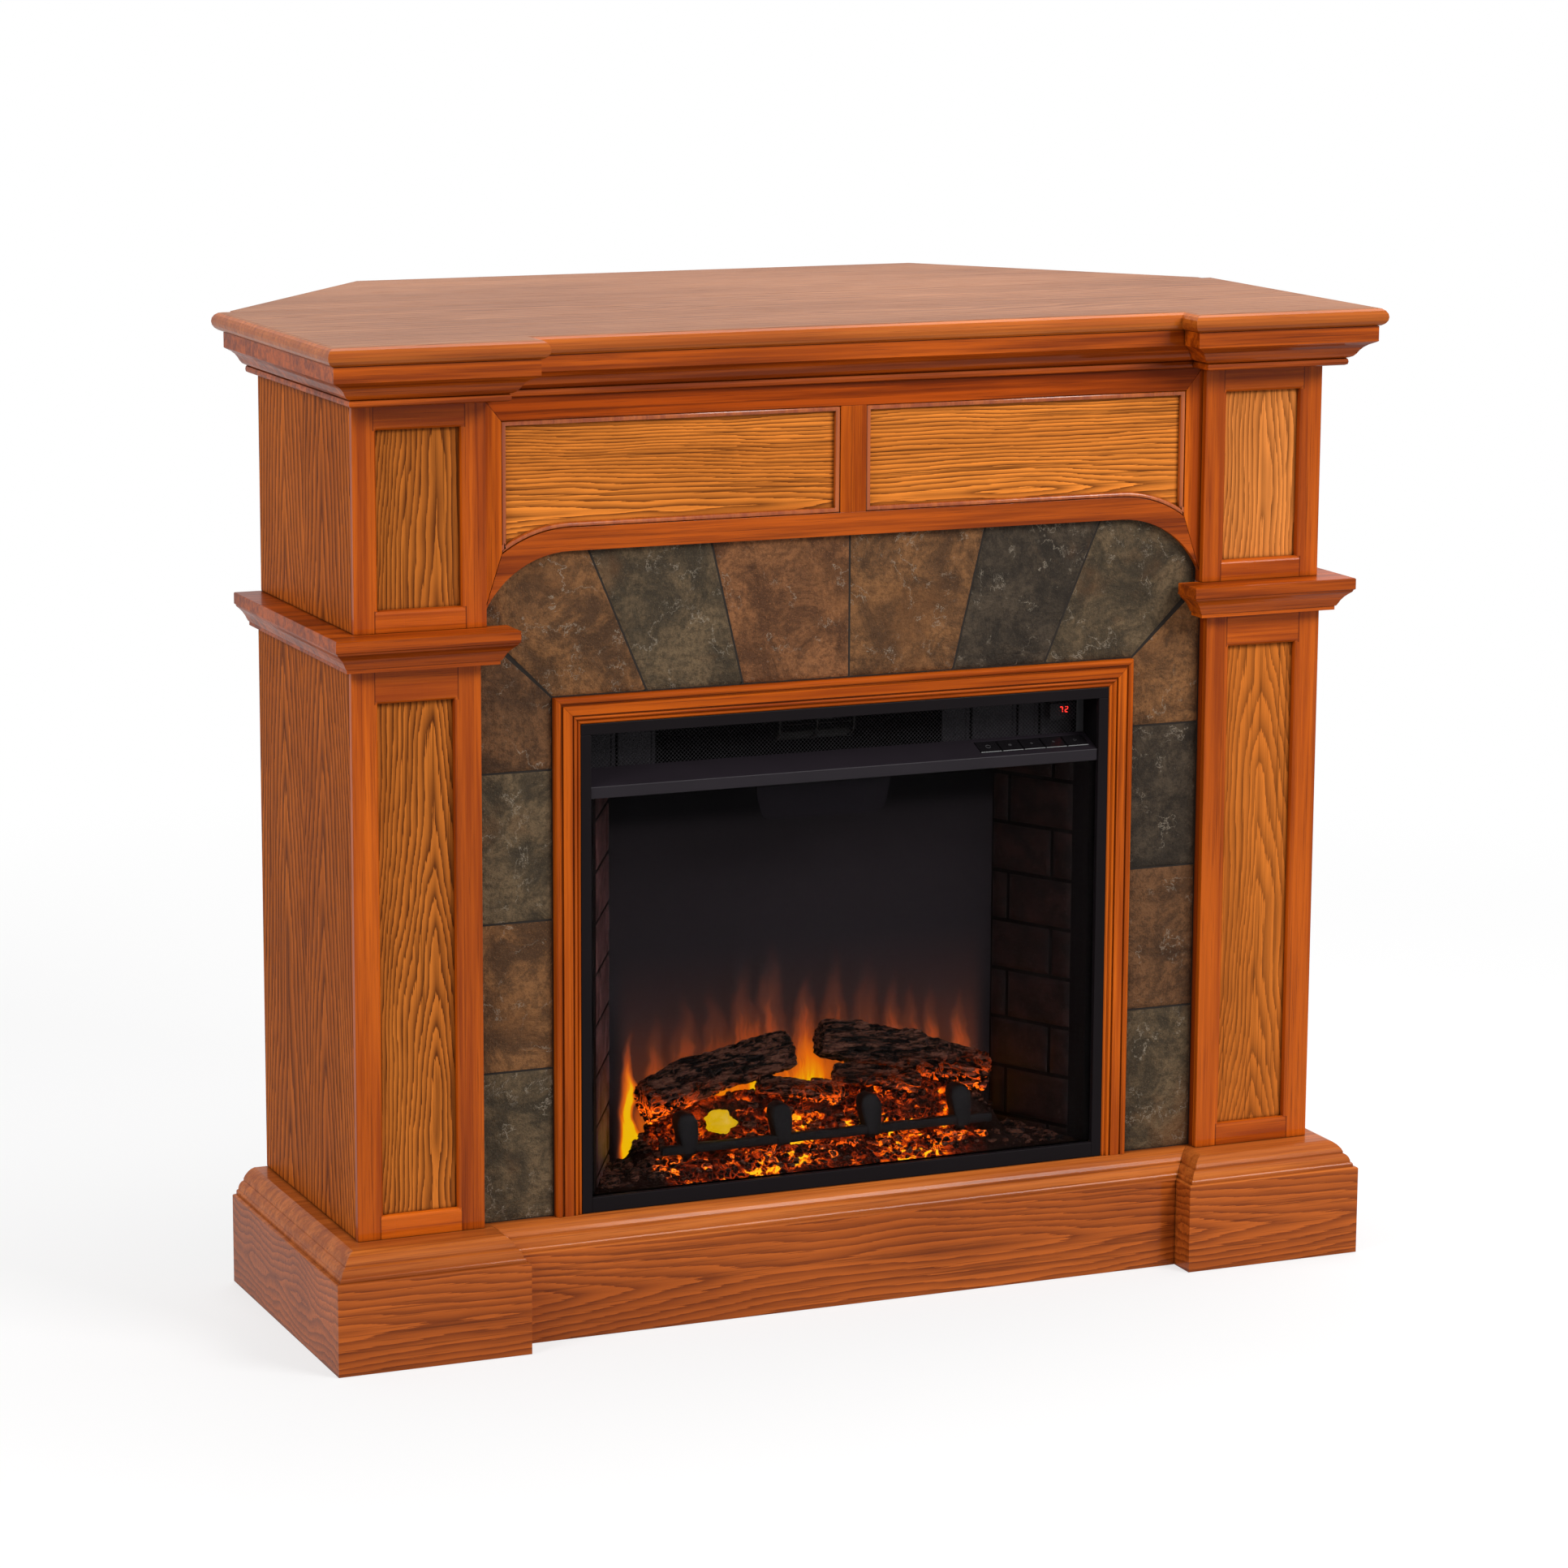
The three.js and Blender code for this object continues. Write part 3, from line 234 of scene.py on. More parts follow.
def oak(name, along, seed, light, dark, figure=None, gloss=0.4, contrast=0.8, coat=0.0, shine=0.03):
    wood = Finish(name)
    body, pores, streaks = grain(wood, along, seed, light, dark, figure, contrast)
    return varnish(wood, body, pores, streaks, gloss, coat, shine)


def jointed_oak(name, node, seed, stile, low_rail, top_rail):
    """A panel frame: upright grain on the stiles, level grain on the rails, a dark line between them."""
    wood = Finish(name)
    low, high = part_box(node)
    upright, pores, streaks = grain(wood, "z", seed, STAIN, STAIN_DARK, None, 0.7)
    level, _, _ = grain(wood, "x", seed + 0.5, STAIN, STAIN_DARK, None, 0.8)
    x, _, z = wood.axes()
    from_middle = wood.absolute(wood.minus(x, (low.x + high.x) / 2))
    from_joint = wood.minus(from_middle, (high.x - low.x) / 2 - stile)
    middle_z = (low.z + low_rail + high.z - top_rail) / 2
    from_mid_height = wood.absolute(wood.minus(z, middle_z))
    beyond = wood.minus(from_mid_height, (high.z - top_rail - low.z - low_rail) / 2 - FRAME_BEAD)
    between_stiles = wood.math("LESS_THAN", from_joint, 0.0)
    on_rail = wood.times(between_stiles, wood.math("GREATER_THAN", beyond, 0.0))
    seam = wood.inverse(wood.step(wood.absolute(from_joint), *SEAM_FADE))
    seam = wood.times(seam, wood.math("GREATER_THAN", beyond, 0.0))
    body = wood.mix(on_rail, upright, level)
    body = wood.mix(wood.times(seam, 0.7), body, tuple(c * 0.35 for c in STAIN_DARK))
    return varnish(wood, body, pores, streaks, 0.34, 0.20)


STAIN = (0.58, 0.112, 0.0055)
STAIN_DARK = (0.25, 0.034, 0.0025)
# Panel tones, partly painted light: upper_right is painted lighter, and the right panels get a weaker figure,
# as a painted sheen.
PANEL_TONE_AND_SHEEN = {"upper_left": (0.52, 0.148, 0.020), "lower_left": (0.66, 0.190, 0.026),
               "lower_right": (0.66, 0.180, 0.024), "upper_right": (0.88, 0.290, 0.060)}
PANEL_CONTRAST_AND_SHEEN = {"left": 0.95, "right": 0.66}
HEADER_VENEER = (0.88, 0.265, 0.036)
VENEER_DARK = (0.115, 0.028, 0.006)
SIDE = (0.62, 0.150, 0.016)
SIDE_DARK = (0.10, 0.019, 0.003)
PLINTH = (0.53, 0.118, 0.016)
PLINTH_DARK = (0.15, 0.026, 0.005)
TOP = (0.345, 0.142, 0.062)
TOP_DARK = (0.140, 0.044, 0.016)

bead_oak = oak("oak_bead", "z", 12, (0.46, 0.100, 0.011), (0.27, 0.042, 0.004),
               gloss=0.24, coat=0.6, shine=0.2)
rail_x = oak("oak_rail_across", "x", 1, STAIN, STAIN_DARK, coat=0.10)
rail_z = oak("oak_stile_upright", "z", 2, STAIN, STAIN_DARK, coat=0.10)
header_rail_oak = oak("oak_header_rail", "x", 3, (0.40, 0.060, 0.003), (0.14, 0.017, 0.001),
                      contrast=0.95, coat=0.08)
moulding_x = oak("oak_moulding_across", "x", 4, (0.51, 0.092, 0.0045), (0.18, 0.025, 0.0015),
                 contrast=0.9, coat=0.20)


def side_oak():
    """The side boards: chains of pointed figures on the faces and plain lipping on the back edges."""
    wood = Finish("oak_side_veneer")
    figure = {"middle": -0.11, "face": 0, "leaf": 0.062, "spread": 150, "pull": 11, "drift": 4.5,
              "ragged": 0.9}
    veneer, pores, streaks = grain(wood, "z", 5, SIDE, SIDE_DARK, figure, 0.9)
    lipping, _, _ = grain(wood, "z", 15, (0.40, 0.090, 0.012), (0.22, 0.042, 0.005), None, 0.7)
    facing = wood.axes(wood.node("TexCoord").outputs["Normal"])[1]
    body = wood.mix(wood.step(wood.absolute(facing), 0.8, 0.95), veneer, lipping)
    return varnish(wood, body, pores, streaks, 0.4, 0.0, 0.01)


side_veneer = side_oak()


def topped_oak():
    """The top: level veneer above, and a stained edging round its rounded edge."""
    wood = Finish("oak_top")
    figure = {"middle": -0.10, "face": 2, "leaf": 0.07, "spread": 130, "pull": 4, "drift": 6.0, "edge": 1.3}
    veneer, pores, streaks = grain(wood, "x", 6, TOP, TOP_DARK, figure, 0.8)
    edging, _, _ = grain(wood, "x", 9, (0.50, 0.125, 0.013), (0.30, 0.055, 0.005), None, 0.7)
    facing = wood.axes(wood.node("TexCoord").outputs["Normal"])[2]
    level = wood.step(facing, 0.93, 0.995)
    polish = wood.times(wood.inverse(level), 0.30)
    return varnish(wood, wood.mix(level, edging, veneer), pores, streaks, 0.34, polish, 0.02)


top_veneer = topped_oak()
PLINTH_CAP_FOOT = 0.0938


def plinth_oak():
    """The plinth: figured board below, and on top of it a plain moulding painted brighter as a painted
    highlight.
    """
    wood = Finish("oak_plinth_face")
    figure = {"middle": 0.045, "face": 1, "spread": 200, "pull": 6, "drift": 6.0, "ragged": 0.7}
    board, pores, streaks = grain(wood, "x", 7, PLINTH, PLINTH_DARK, figure, 0.75)
    # The cap's plain grain is its own; its lighter colour is a painted highlight.
    cap_with_highlight, _, _ = grain(wood, "x", 17, (0.56, 0.150, 0.024), (0.27, 0.052, 0.008), None, 0.7)
    on_cap = wood.step(wood.axes()[2], PLINTH_CAP_FOOT - 0.0005, PLINTH_CAP_FOOT + 0.0005)
    return varnish(wood, wood.mix(on_cap, board, cap_with_highlight), pores, streaks, 0.34, 0.22, 0.02)


plinth_face = plinth_oak()
inside_board = oak("oak_inside_board", "x", 8, (0.30, 0.16, 0.08), (0.2, 0.1, 0.05), gloss=0.6)


def panel_veneer(name, node, seed, light, contrast, along="z"):
    low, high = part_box(node)
    if along == "z":
        figure = {"middle": (low.x + high.x) / 2 + 0.012, "face": 1, "spread": 300, "pull": 15, "drift": 12.0}
    else:
        figure = {"middle": low.z + 0.07, "face": 1, "spread": 380, "pull": 4, "drift": 9.0}
    wood = Finish(name)
    body, pores, streaks = grain(wood, along, seed, light, VENEER_DARK, figure, contrast)
    from_middle = wood.absolute(wood.minus(wood.axes()[0], (low.x + high.x) / 2))
    end_grain = wood.math("GREATER_THAN", from_middle, (high.x - low.x) / 2 - END_GRAIN)
    return varnish(wood, wood.mix(end_grain, body, STAIN_DARK), pores, streaks, 0.42, 0.02)


# ------------------------------------------------------------------ slate finishes
SLATE = {
    "brown": ((0.275, 0.122, 0.044), (0.082, 0.038, 0.016)),
    "rust": ((0.30, 0.122, 0.046), (0.100, 0.040, 0.016)),
    "umber": ((0.185, 0.083, 0.034), (0.058, 0.027, 0.012)),
    "green": ((0.172, 0.114, 0.060), (0.050, 0.036, 0.021)),
    "grey": ((0.082, 0.058, 0.037), (0.025, 0.018, 0.012)),
}
SLATE_RUST = (0.24, 0.096, 0.030)
SLATE_VEIN = (0.44, 0.37, 0.28)
GROUT = (0.03, 0.024, 0.02)


def slate(name, seed, colours):
    light, dark = SLATE[colours]
    stone = Finish(name)
    offset = (seed * 0.31, seed * 0.17, seed * 0.43)
    place = stone.scaled((1, 1, 1), offset)
    warp = stone.cloud(place, 9, 4, 0.6)
    broad = stone.cloud(place, 20, 8, 0.70, 0.6)
    fine = stone.cloud(place, 150, 6, 0.75)
    grit = stone.cloud(place, 620, 3, 0.7)
    body = stone.mix(stone.step(broad, 0.38, 0.62), dark, light)
    hollows = stone.times(stone.step(fine, 0.42, 0.62), 0.62)
    body = stone.mix(hollows, body, tuple(c * 0.7 for c in dark))
    specks = stone.times(stone.step(grit, 0.56, 0.70), 0.4)
    body = stone.mix(specks, body, tuple(c * 1.5 for c in light))
    rusty = stone.mix(stone.times(stone.step(warp, 0.52, 0.7), 0.36), body, SLATE_RUST)
    ridge = stone.absolute(stone.minus(stone.cloud(place, 13, 9, 0.66, 0.3), 0.5))
    vein = stone.inverse(stone.step(ridge, 0.0, 0.0065))
    gate = stone.step(stone.cloud(place, 30, 4, 0.65), 0.46, 0.58)
    veined = stone.times(stone.times(vein, gate), 0.62)
    pale = stone.mix(veined, rusty, SLATE_VEIN)
    small = stone.plus(stone.times(fine, 0.42), stone.times(grit, 0.07))
    stone.bump(stone.plus(stone.times(broad, 0.8), small), 0.0075, 1.0)
    roughness = stone.plus(0.38, stone.times(fine, 0.3))
    stone.set(colour=pale, roughness=roughness, specular=0.16)
    return stone.material


# ------------------------------------------------------------------ insert finishes
def coated(name, colour, roughness, grain=900, depth=0.00006, metallic=0.0, specular=0.4):
    """Powder coat or moulded plastic with a fine tooth and slight unevenness."""
    skin = Finish(name)
    tooth = skin.cloud(skin.place, grain, 2)
    uneven = skin.cloud(skin.place, 14, 3)
    tint = skin.mix(uneven, tuple(c * 0.82 for c in colour), tuple(c * 1.15 for c in colour))
    skin.bump(tooth, depth, 0.6)
    rough = skin.plus(roughness - 0.05, skin.times(uneven, 0.1))
    skin.set(colour=tint, roughness=rough, metallic=metallic, specular=specular)
    return skin.material


black_coat = coated("satin_black_coat", (0.0080, 0.0060, 0.0070), 0.40, specular=0.05)
black_moulding = coated("black_moulding", (0.0155, 0.0120, 0.0155), 0.34, 1500, specular=0.14)
black_inside = coated("black_inside", (0.0035, 0.0028, 0.0032), 0.7, specular=0.03)
black_wire = coated("black_wire", (0.042, 0.040, 0.043), 0.4, 1500, 0.00002, specular=0.25)
dark_zinc = coated("dark_zinc", (0.030, 0.0285, 0.027), 0.5, 500, 0.00005, 1.0)
zinc_plate = coated("zinc_plate", (0.15, 0.145, 0.135), 0.55, 500, 0.00005, 1.0)


def smoked_glass():
    pane = Finish("smoked_glass")
    smear = pane.cloud(pane.scaled((6, 6, 11)), 1.0, 3)
    pane.set(colour=(0.62, 0.62, 0.64), transmission=1.0, ior=1.05,
             roughness=pane.times(pane.step(smear, 0.62, 0.9), 0.03))
    return pane.material


# Flames on the screen: place along x, height of the tip, half width at the foot, and heat.
FLAME_FOOT = 0.160
HALO_HEIGHT = 0.205
SCREEN_EDGE_FADE = (0.196, 0.216)
SCREEN_HEAD_SHADOW = (0.484, 0.508)
TONGUES = (
    (-0.201, 0.280, 0.0125, 1.45), (-0.167, 0.300, 0.024, 0.48), (-0.134, 0.318, 0.028, 0.44),
    (-0.101, 0.322, 0.030, 0.46), (-0.067, 0.345, 0.036, 0.62), (-0.036, 0.365, 0.034, 0.58),
    (0.003, 0.325, 0.031, 0.92), (0.035, 0.352, 0.032, 0.50), (0.075, 0.338, 0.032, 0.40),
    (0.107, 0.322, 0.022, 0.62), (0.127, 0.306, 0.020, 0.52), (0.151, 0.300, 0.021, 0.62),
    (0.184, 0.292, 0.019, 0.66),
)
FLAME_COLOURS = (
    (0.0, (0, 0, 0)), (0.08, (0.016, 0.005, 0.003)), (0.25, (0.085, 0.017, 0.005)),
    (0.45, (0.34, 0.052, 0.006)), (0.7, (0.78, 0.145, 0.002)), (0.88, (0.86, 0.27, 0.001)),
    (1.0, (0.88, 0.50, 0.001)),
)
CHAR_GLOW = (
    (0.0, (0, 0, 0)), (0.25, (0.16, 0.014, 0.0005)), (0.6, (0.9, 0.10, 0.001)), (1.0, (1.0, 0.34, 0.004)),
)
EMBER_GLOW = (
    (0.0, (0, 0, 0)), (0.16, (0.05, 0.0032, 0.0003)), (0.42, (0.30, 0.022, 0.0008)),
    (0.66, (0.62, 0.085, 0.001)), (0.84, (0.72, 0.20, 0.002)), (1.0, (0.74, 0.40, 0.006)),
)


def lit_screen():
    """Dark diffuser with the flames that the rotor throws on it, and a painted shadow along its top."""
    screen = Finish("flame_screen_glow")
    x, _, z = screen.axes()
    sway = screen.cloud(screen.scaled((13, 1, 20)), 1.0, 2)
    curl = screen.cloud(screen.scaled((40, 1, 34)), 1.0, 2)
    broad_lean = screen.times(screen.minus(sway, 0.5), 0.030)
    swung = screen.plus(x, screen.plus(broad_lean, screen.times(screen.minus(curl, 0.5), 0.012)))
    rise = screen.minus(z, FLAME_FOOT)
    heat = 0.0
    for middle, tip, half, strength in TONGUES:
        left_over = screen.inverse(screen.over(rise, tip - FLAME_FOOT), clamp=True)
        width = screen.plus(0.001, screen.times(screen.power(left_over, 0.7), half))
        off = screen.over(screen.minus(swung, middle), width)
        core = screen.inverse(screen.times(off, off), clamp=True)
        fading = screen.power(left_over, 1.1)
        heat = screen.plus(heat, screen.times(screen.times(core, strength), fading))
    drawn_up = screen.node("CombineXYZ", {0: swung, 1: 0.0, 2: screen.times(z, 0.12)}).outputs[0]
    strands = screen.step(screen.cloud(drawn_up, 95, 3, 0.6), 0.34, 0.62)
    heat = screen.times(heat, screen.plus(0.62, screen.times(strands, 0.5)))
    halo = screen.inverse(screen.over(rise, HALO_HEIGHT), clamp=True)
    sides = screen.inverse(screen.step(screen.absolute(x), *SCREEN_EDGE_FADE))
    heat = screen.plus(heat, screen.times(screen.power(halo, 1.6), 0.40))
    heat = screen.times(heat, sides)
    colour = screen.ramp(heat, FLAME_COLOURS)
    haze = screen.cloud(screen.scaled((3, 3, 5)), 1.0, 2)
    base = screen.mix(haze, (0.0225, 0.0180, 0.0195), (0.0305, 0.0240, 0.0260))
    # Painted shadow: the screen turns near black above this height.
    base = screen.mix(screen.step(z, *SCREEN_HEAD_SHADOW), base, (0.004, 0.003, 0.0035))
    screen.set(colour=base, roughness=0.6, glow=colour, glow_strength=1.5, specular=0.04)
    return screen.material


def char(name, seed, glow_low, glow_high, glow_gain):
    """Charred bark: ridged and nearly black, the ridges painted lighter as a painted highlight, with a glow
    in the cracks below.
    """
    bark = Finish(name)
    offset = (seed * 0.41, seed * 0.23, seed * 0.61)
    place = bark.scaled((1, 1, 1), offset)
    ridges = bark.cloud(bark.scaled((0.42, 1.8, 2.2), offset), 78, 6, 0.68, 0.35)
    fine = bark.cloud(bark.scaled((0.5, 1.4, 1.4), offset), 330, 4, 0.7)
    from_crack = bark.absolute(bark.minus(bark.cloud(place, 46, 4, 0.6, 1.2), 0.5))
    crack = bark.inverse(bark.step(from_crack, 0.0, 0.05))
    low = bark.inverse(bark.step(bark.axes()[2], glow_low, glow_high))
    warm = bark.times(crack, bark.power(low, 1.5))
    patch = bark.times(bark.step(ridges, 0.5, 0.7), bark.power(low, 3.0))
    heat = bark.plus(bark.times(warm, 0.7), bark.times(patch, 0.6), clamp=True)
    colour = bark.ramp(heat, CHAR_GLOW)
    # Painted highlight: the raised ridges are coloured lighter brown than the furrows.
    body = bark.mix(bark.step(ridges, 0.44, 0.60), (0.0075, 0.0036, 0.0026), (0.290, 0.112, 0.066))
    body = bark.mix(bark.times(bark.step(fine, 0.42, 0.62), 0.6), body, (0.009, 0.006, 0.0045))
    bark.bump(bark.plus(ridges, bark.times(fine, 0.35)), 0.010, 1.0)
    bark.set(colour=body, roughness=0.62, glow=colour, glow_strength=glow_gain, specular=0.16)
    return bark.material


HOT_MIDDLE = -0.014
HOT_HALF = 0.188


def embers(name, seed, gain):
    """Crushed embers: black crust over orange and yellow heat."""
    coals = Finish(name)
    offset = (seed * 0.19, seed * 0.47, seed * 0.13)
    place = coals.scaled((1, 1, 1.3), offset)
    cells = coals.node("TexVoronoi", {"Vector": place, "Scale": 120.0}, feature="DISTANCE_TO_EDGE").outputs[0]
    gaps = coals.inverse(coals.step(cells, 0.0, 0.14))
    patches = coals.cloud(place, 62, 5, 0.7, 0.8)
    fierce = coals.cloud(place, 15, 3)
    heat = coals.plus(coals.times(gaps, 0.25), coals.step(patches, 0.47, 0.66))
    heat = coals.times(heat, coals.plus(0.22, coals.step(fierce, 0.40, 0.62)))
    x, _, z = coals.axes()
    from_hearth_middle = coals.absolute(coals.minus(x, HOT_MIDDLE))
    edge = coals.step(from_hearth_middle, HOT_HALF - 0.025, HOT_HALF)
    low = coals.inverse(coals.step(z, 0.148, 0.205))
    heat = coals.times(heat, coals.plus(0.5, coals.times(low, 0.7)))
    heat = coals.times(heat, coals.inverse(edge))
    colour = coals.ramp(heat, EMBER_GLOW)
    crust = coals.mix(patches, (0.008, 0.005, 0.004), (0.035, 0.014, 0.009))
    coals.bump(coals.plus(cells, patches), 0.004, 0.8)
    coals.set(colour=crust, roughness=0.9, glow=colour, glow_strength=gain, specular=0.06)
    return coals.material


def brick_finish(name, light, dark):
    """Moulded brick faces: blotched, pitted, and a little different from course to course."""
    clay = Finish(name)
    blotch = clay.cloud(clay.place, 42, 5, 0.65)
    pits = clay.cloud(clay.place, 240, 4, 0.7)
    course = clay.math("FLOOR", clay.times(clay.axes()[2], 20.0))
    shade = clay.cloud(clay.node("CombineXYZ", {0: course, 1: 0.0, 2: 0.0}).outputs[0], 3.1, 1)
    body = clay.mix(clay.step(blotch, 0.35, 0.7), dark, light)
    body = clay.mix(clay.times(shade, 0.5), body, dark)
    pitted = clay.times(clay.step(pits, 0.62, 0.75), 0.4)
    clay.bump(clay.minus(blotch, pitted), 0.0016, 0.9)
    clay.set(colour=body, roughness=0.45, specular=0.2)
    return clay.material


def lamp(name, colour, strength):
    light = Finish(name)
    flicker = light.cloud(light.place, 55, 2)
    light.set(colour=(0.02, 0.01, 0.005), glow=light.mix(flicker, tuple(c * 0.8 for c in colour), colour),
              glow_strength=strength, roughness=0.5)
    return light.material


# ------------------------------------------------------------------ modelling helpers
def deselect():
    if bpy.context.object and bpy.context.object.mode != "OBJECT":
        bpy.ops.object.mode_set(mode="OBJECT")
    bpy.ops.object.select_all(action="DESELECT")


def take(obj):
    deselect()
    obj.select_set(True)
    bpy.context.view_layer.objects.active = obj
    return obj


def linked(name, data):
    obj = bpy.data.objects.new(name, data)
    bpy.context.scene.collection.objects.link(obj)
    return obj


def edit(obj):
    take(obj)
    bpy.ops.object.mode_set(mode="EDIT")


def leave_edit():
    bpy.ops.object.mode_set(mode="OBJECT")


def pick(kind, choose):
    """In edit mode, selects only the edges or faces that a function chooses among them all."""
    bpy.ops.mesh.select_mode(type=kind)
    bpy.ops.mesh.select_all(action="DESELECT")
    mesh = bpy.context.object.data
    shape = bmesh.from_edit_mesh(mesh)
    for part in choose(shape.edges if kind == "EDGE" else shape.faces):
        part.select = True
    bmesh.update_edit_mesh(mesh)


def cut_through(place, direction, **settings):
    bpy.ops.mesh.select_all(action="SELECT")
    bpy.ops.mesh.bisect(plane_co=place, plane_no=direction, **settings)


def settle(name):
    """Names the active piece and puts its place into its mesh."""
    obj = bpy.context.object
    bpy.ops.object.transform_apply(location=True, rotation=True, scale=True)
    obj.name = name
    obj.data.name = name
    return obj


def apply_modifier(obj, kind, **settings):
    take(obj)
    modifier = obj.modifiers.new(kind.title(), kind)
    for key, value in settings.items():
        setattr(modifier, key, value)
    bpy.ops.object.modifier_apply(modifier=modifier.name)
    return obj


def block(name, low, high, bevel=0.0, turn=0.0, segments=2):
    """A box between two corners in the row frame, turned about its own upright axis, with eased edges."""
    deselect()
    size = high - low
    bpy.ops.mesh.primitive_cube_add(size=1, location=(low + high) / 2, rotation=(0, 0, turn), scale=size)
    obj = settle(name)
    if bevel:
        apply_modifier(obj, "BEVEL", width=bevel, segments=segments, limit_method="NONE")
    return obj


def grid(name, cells, middle, wide, tall, upright=False):
    """A flat grid of so many cells: level, or standing and facing the front."""
    deselect()
    bpy.ops.mesh.primitive_grid_add(x_subdivisions=cells[0], y_subdivisions=cells[1], size=1, location=middle,
                                    rotation=(math.pi / 2 if upright else 0, 0, 0))
    bpy.context.object.scale = (wide, tall, 1)
    return settle(name)


def joined(name, pieces):
    take(pieces[0])
    for piece in pieces[1:]:
        piece.select_set(True)
    if len(pieces) > 1:
        bpy.ops.object.join()
    obj = bpy.context.object
    obj.name = name
    obj.data.name = name
    return obj


def finish_piece(obj, material, body=MANTEL, stands_for=(), smooth=35):
    obj.data.materials.clear()
    obj.data.materials.append(material)
    if smooth:
        take(obj)
        bpy.ops.object.shade_smooth_by_angle(angle=math.radians(smooth))
    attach(obj, body)
    if stands_for:
        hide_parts(*stands_for)
    return obj


def bead(name, outline, front, back, width, finish):
    """A rounded bead that lines an opening; outline is the opening's run of (x, z) points."""

    def bare(edge):
        level = all(abs(vert.co.y - front) < 1e-6 for vert in edge.verts)
        return level and any(abs(face.normal.y) < 0.5 for face in edge.link_faces)

    mesh = bpy.data.meshes.new(name)
    mesh.from_pydata([(x, front, z) for x, z in outline], [], [list(range(len(outline)))])
    obj = linked(name, mesh)
    edit(obj)
    bpy.ops.mesh.select_mode(type="FACE")
    bpy.ops.mesh.select_all(action="SELECT")
    bpy.ops.mesh.inset(thickness=width, use_even_offset=True)
    bpy.ops.mesh.delete(type="FACE")
    bpy.ops.mesh.select_all(action="SELECT")
    bpy.ops.mesh.extrude_region_move(TRANSFORM_OT_translate={"value": (0, back - front, 0)})
    pick("EDGE", lambda edges: [edge for edge in edges if bare(edge)])
    bpy.ops.mesh.bevel(offset=width * 0.46, segments=4)
    closed_up(obj)
    return finish_piece(obj, finish, smooth=50)


def closed_up(obj):
    edit(obj)
    bpy.ops.mesh.select_all(action="SELECT")
    bpy.ops.mesh.remove_doubles(threshold=0.00002)
    bpy.ops.mesh.normals_make_consistent(inside=False)
    leave_edit()
    return obj


def mirrored(outline, side):
    return list(outline) if side > 0 else [(-x, z) for x, z in reversed(outline)]


def arc(middle, radius, turns):
    return [(middle[0] + radius * math.cos(turn), middle[1] + radius * math.sin(turn)) for turn in turns]


def both(*stems):
    """Names of the pieces that come as a left and a right one."""
    return [f"{stem}_{label}" for stem in stems for label, _ in SIDES]


def paint(names, material):
    for name in names:
        slots = nodes[name].data.materials
        slots.clear()
        slots.append(material)


def ease(names, width, angle=28):
    """Softens the sharp edges of joined-up CAD triangles without touching their mesh."""
    for name in names:
        weld = nodes[name].modifiers.new("Weld", "WELD")
        weld.merge_threshold = 0.00002
        bevel = nodes[name].modifiers.new("Eased edges", "BEVEL")
        bevel.width = width
        bevel.segments = 2
        bevel.limit_method = "ANGLE"
        bevel.angle_limit = math.radians(angle)
        bevel.use_clamp_overlap = True


# ------------------------------------------------------------------ finishes on the wood
paint(["top_board", "rear_leaf"], top_veneer)
paint([*both("crown", "belt"), "crown_middle", "header_arch_rail"], moulding_x)
paint(["header_top_rail"], header_rail_oak)
paint([*both("plinth"), "plinth_middle"], plinth_face)
paint([*both("header_stile", "trim"), "header_centre_stile"], rail_z)
paint(["trim_top"], rail_x)
paint(both("side_lower", "side_upper"), side_veneer)
paint(["hearth_board"], inside_board)
# Widths of stile, low rail and top rail in the frames of the pilasters.
FRAME_WIDTHS = {"upper": (0.0215, 0.0185, 0.023), "lower": (0.024, 0.0203, 0.0314)}
for number, (label, _) in enumerate(SIDES):
    for level, widths in FRAME_WIDTHS.items():
        frame_name = f"{level}_frame_{label}"
        paint([frame_name], jointed_oak(f"oak_{frame_name}", frame_name, 31 + number, *widths))
        panel = f"{level}_panel_{label}"
        seed = 11 + 2 * number + (level == "upper")
        tint = PANEL_TONE_AND_SHEEN[f"{level}_{label}"]
        paint([panel], panel_veneer(f"oak_{panel}", panel, seed, tint, PANEL_CONTRAST_AND_SHEEN[label]))
paint(["header_panel"], panel_veneer("oak_header_panel", "header_panel", 21, HEADER_VENEER, 0.88, "x"))
ease(both("upper_frame", "lower_frame"), 0.0006)
ease([*both("header_stile"), "header_top_rail", "header_arch_rail", "header_centre_stile"], 0.0008)
ease(both("side_upper", "side_lower"), 0.0012)

# Beads in the two openings of the header, which follow the curve of the arched rail.
ARCH_MIDDLE = (0.306, 0.7034)
ARCH_RIM = 0.125
BEAD_WIDTH = 0.0052
rail_low, rail_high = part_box("header_top_rail")
opening_top, opening_foot = rail_low.z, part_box("header_arch_rail")[1].z
opening_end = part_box("header_stile_right")[0].x
opening_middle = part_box("header_centre_stile")[1].x
first = math.degrees(math.acos((opening_end - ARCH_MIDDLE[0]) / ARCH_RIM))
curve = arc(ARCH_MIDDLE, ARCH_RIM, [math.radians(90 - (90 - first) * step / 12) for step in range(13)])
opening = [(opening_middle, opening_top), (opening_middle, opening_foot), *curve, (opening_end, opening_top)]
for label, side in SIDES:
    bead(f"header_bead_{label}", mirrored(opening, side), rail_low.y + 0.0004, rail_high.y - 0.0001,
         BEAD_WIDTH, bead_oak)

# ------------------------------------------------------------------ slate tiles
band_low, band_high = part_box("slate_top")
leg_low, leg_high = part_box("slate_right")
TILE_FRONT, TILE_BACK = band_low.y, band_high.y
GROUT_RECESS = 0.0018
GROUT_HALF = 0.0011
TILE_CELL = 0.0022


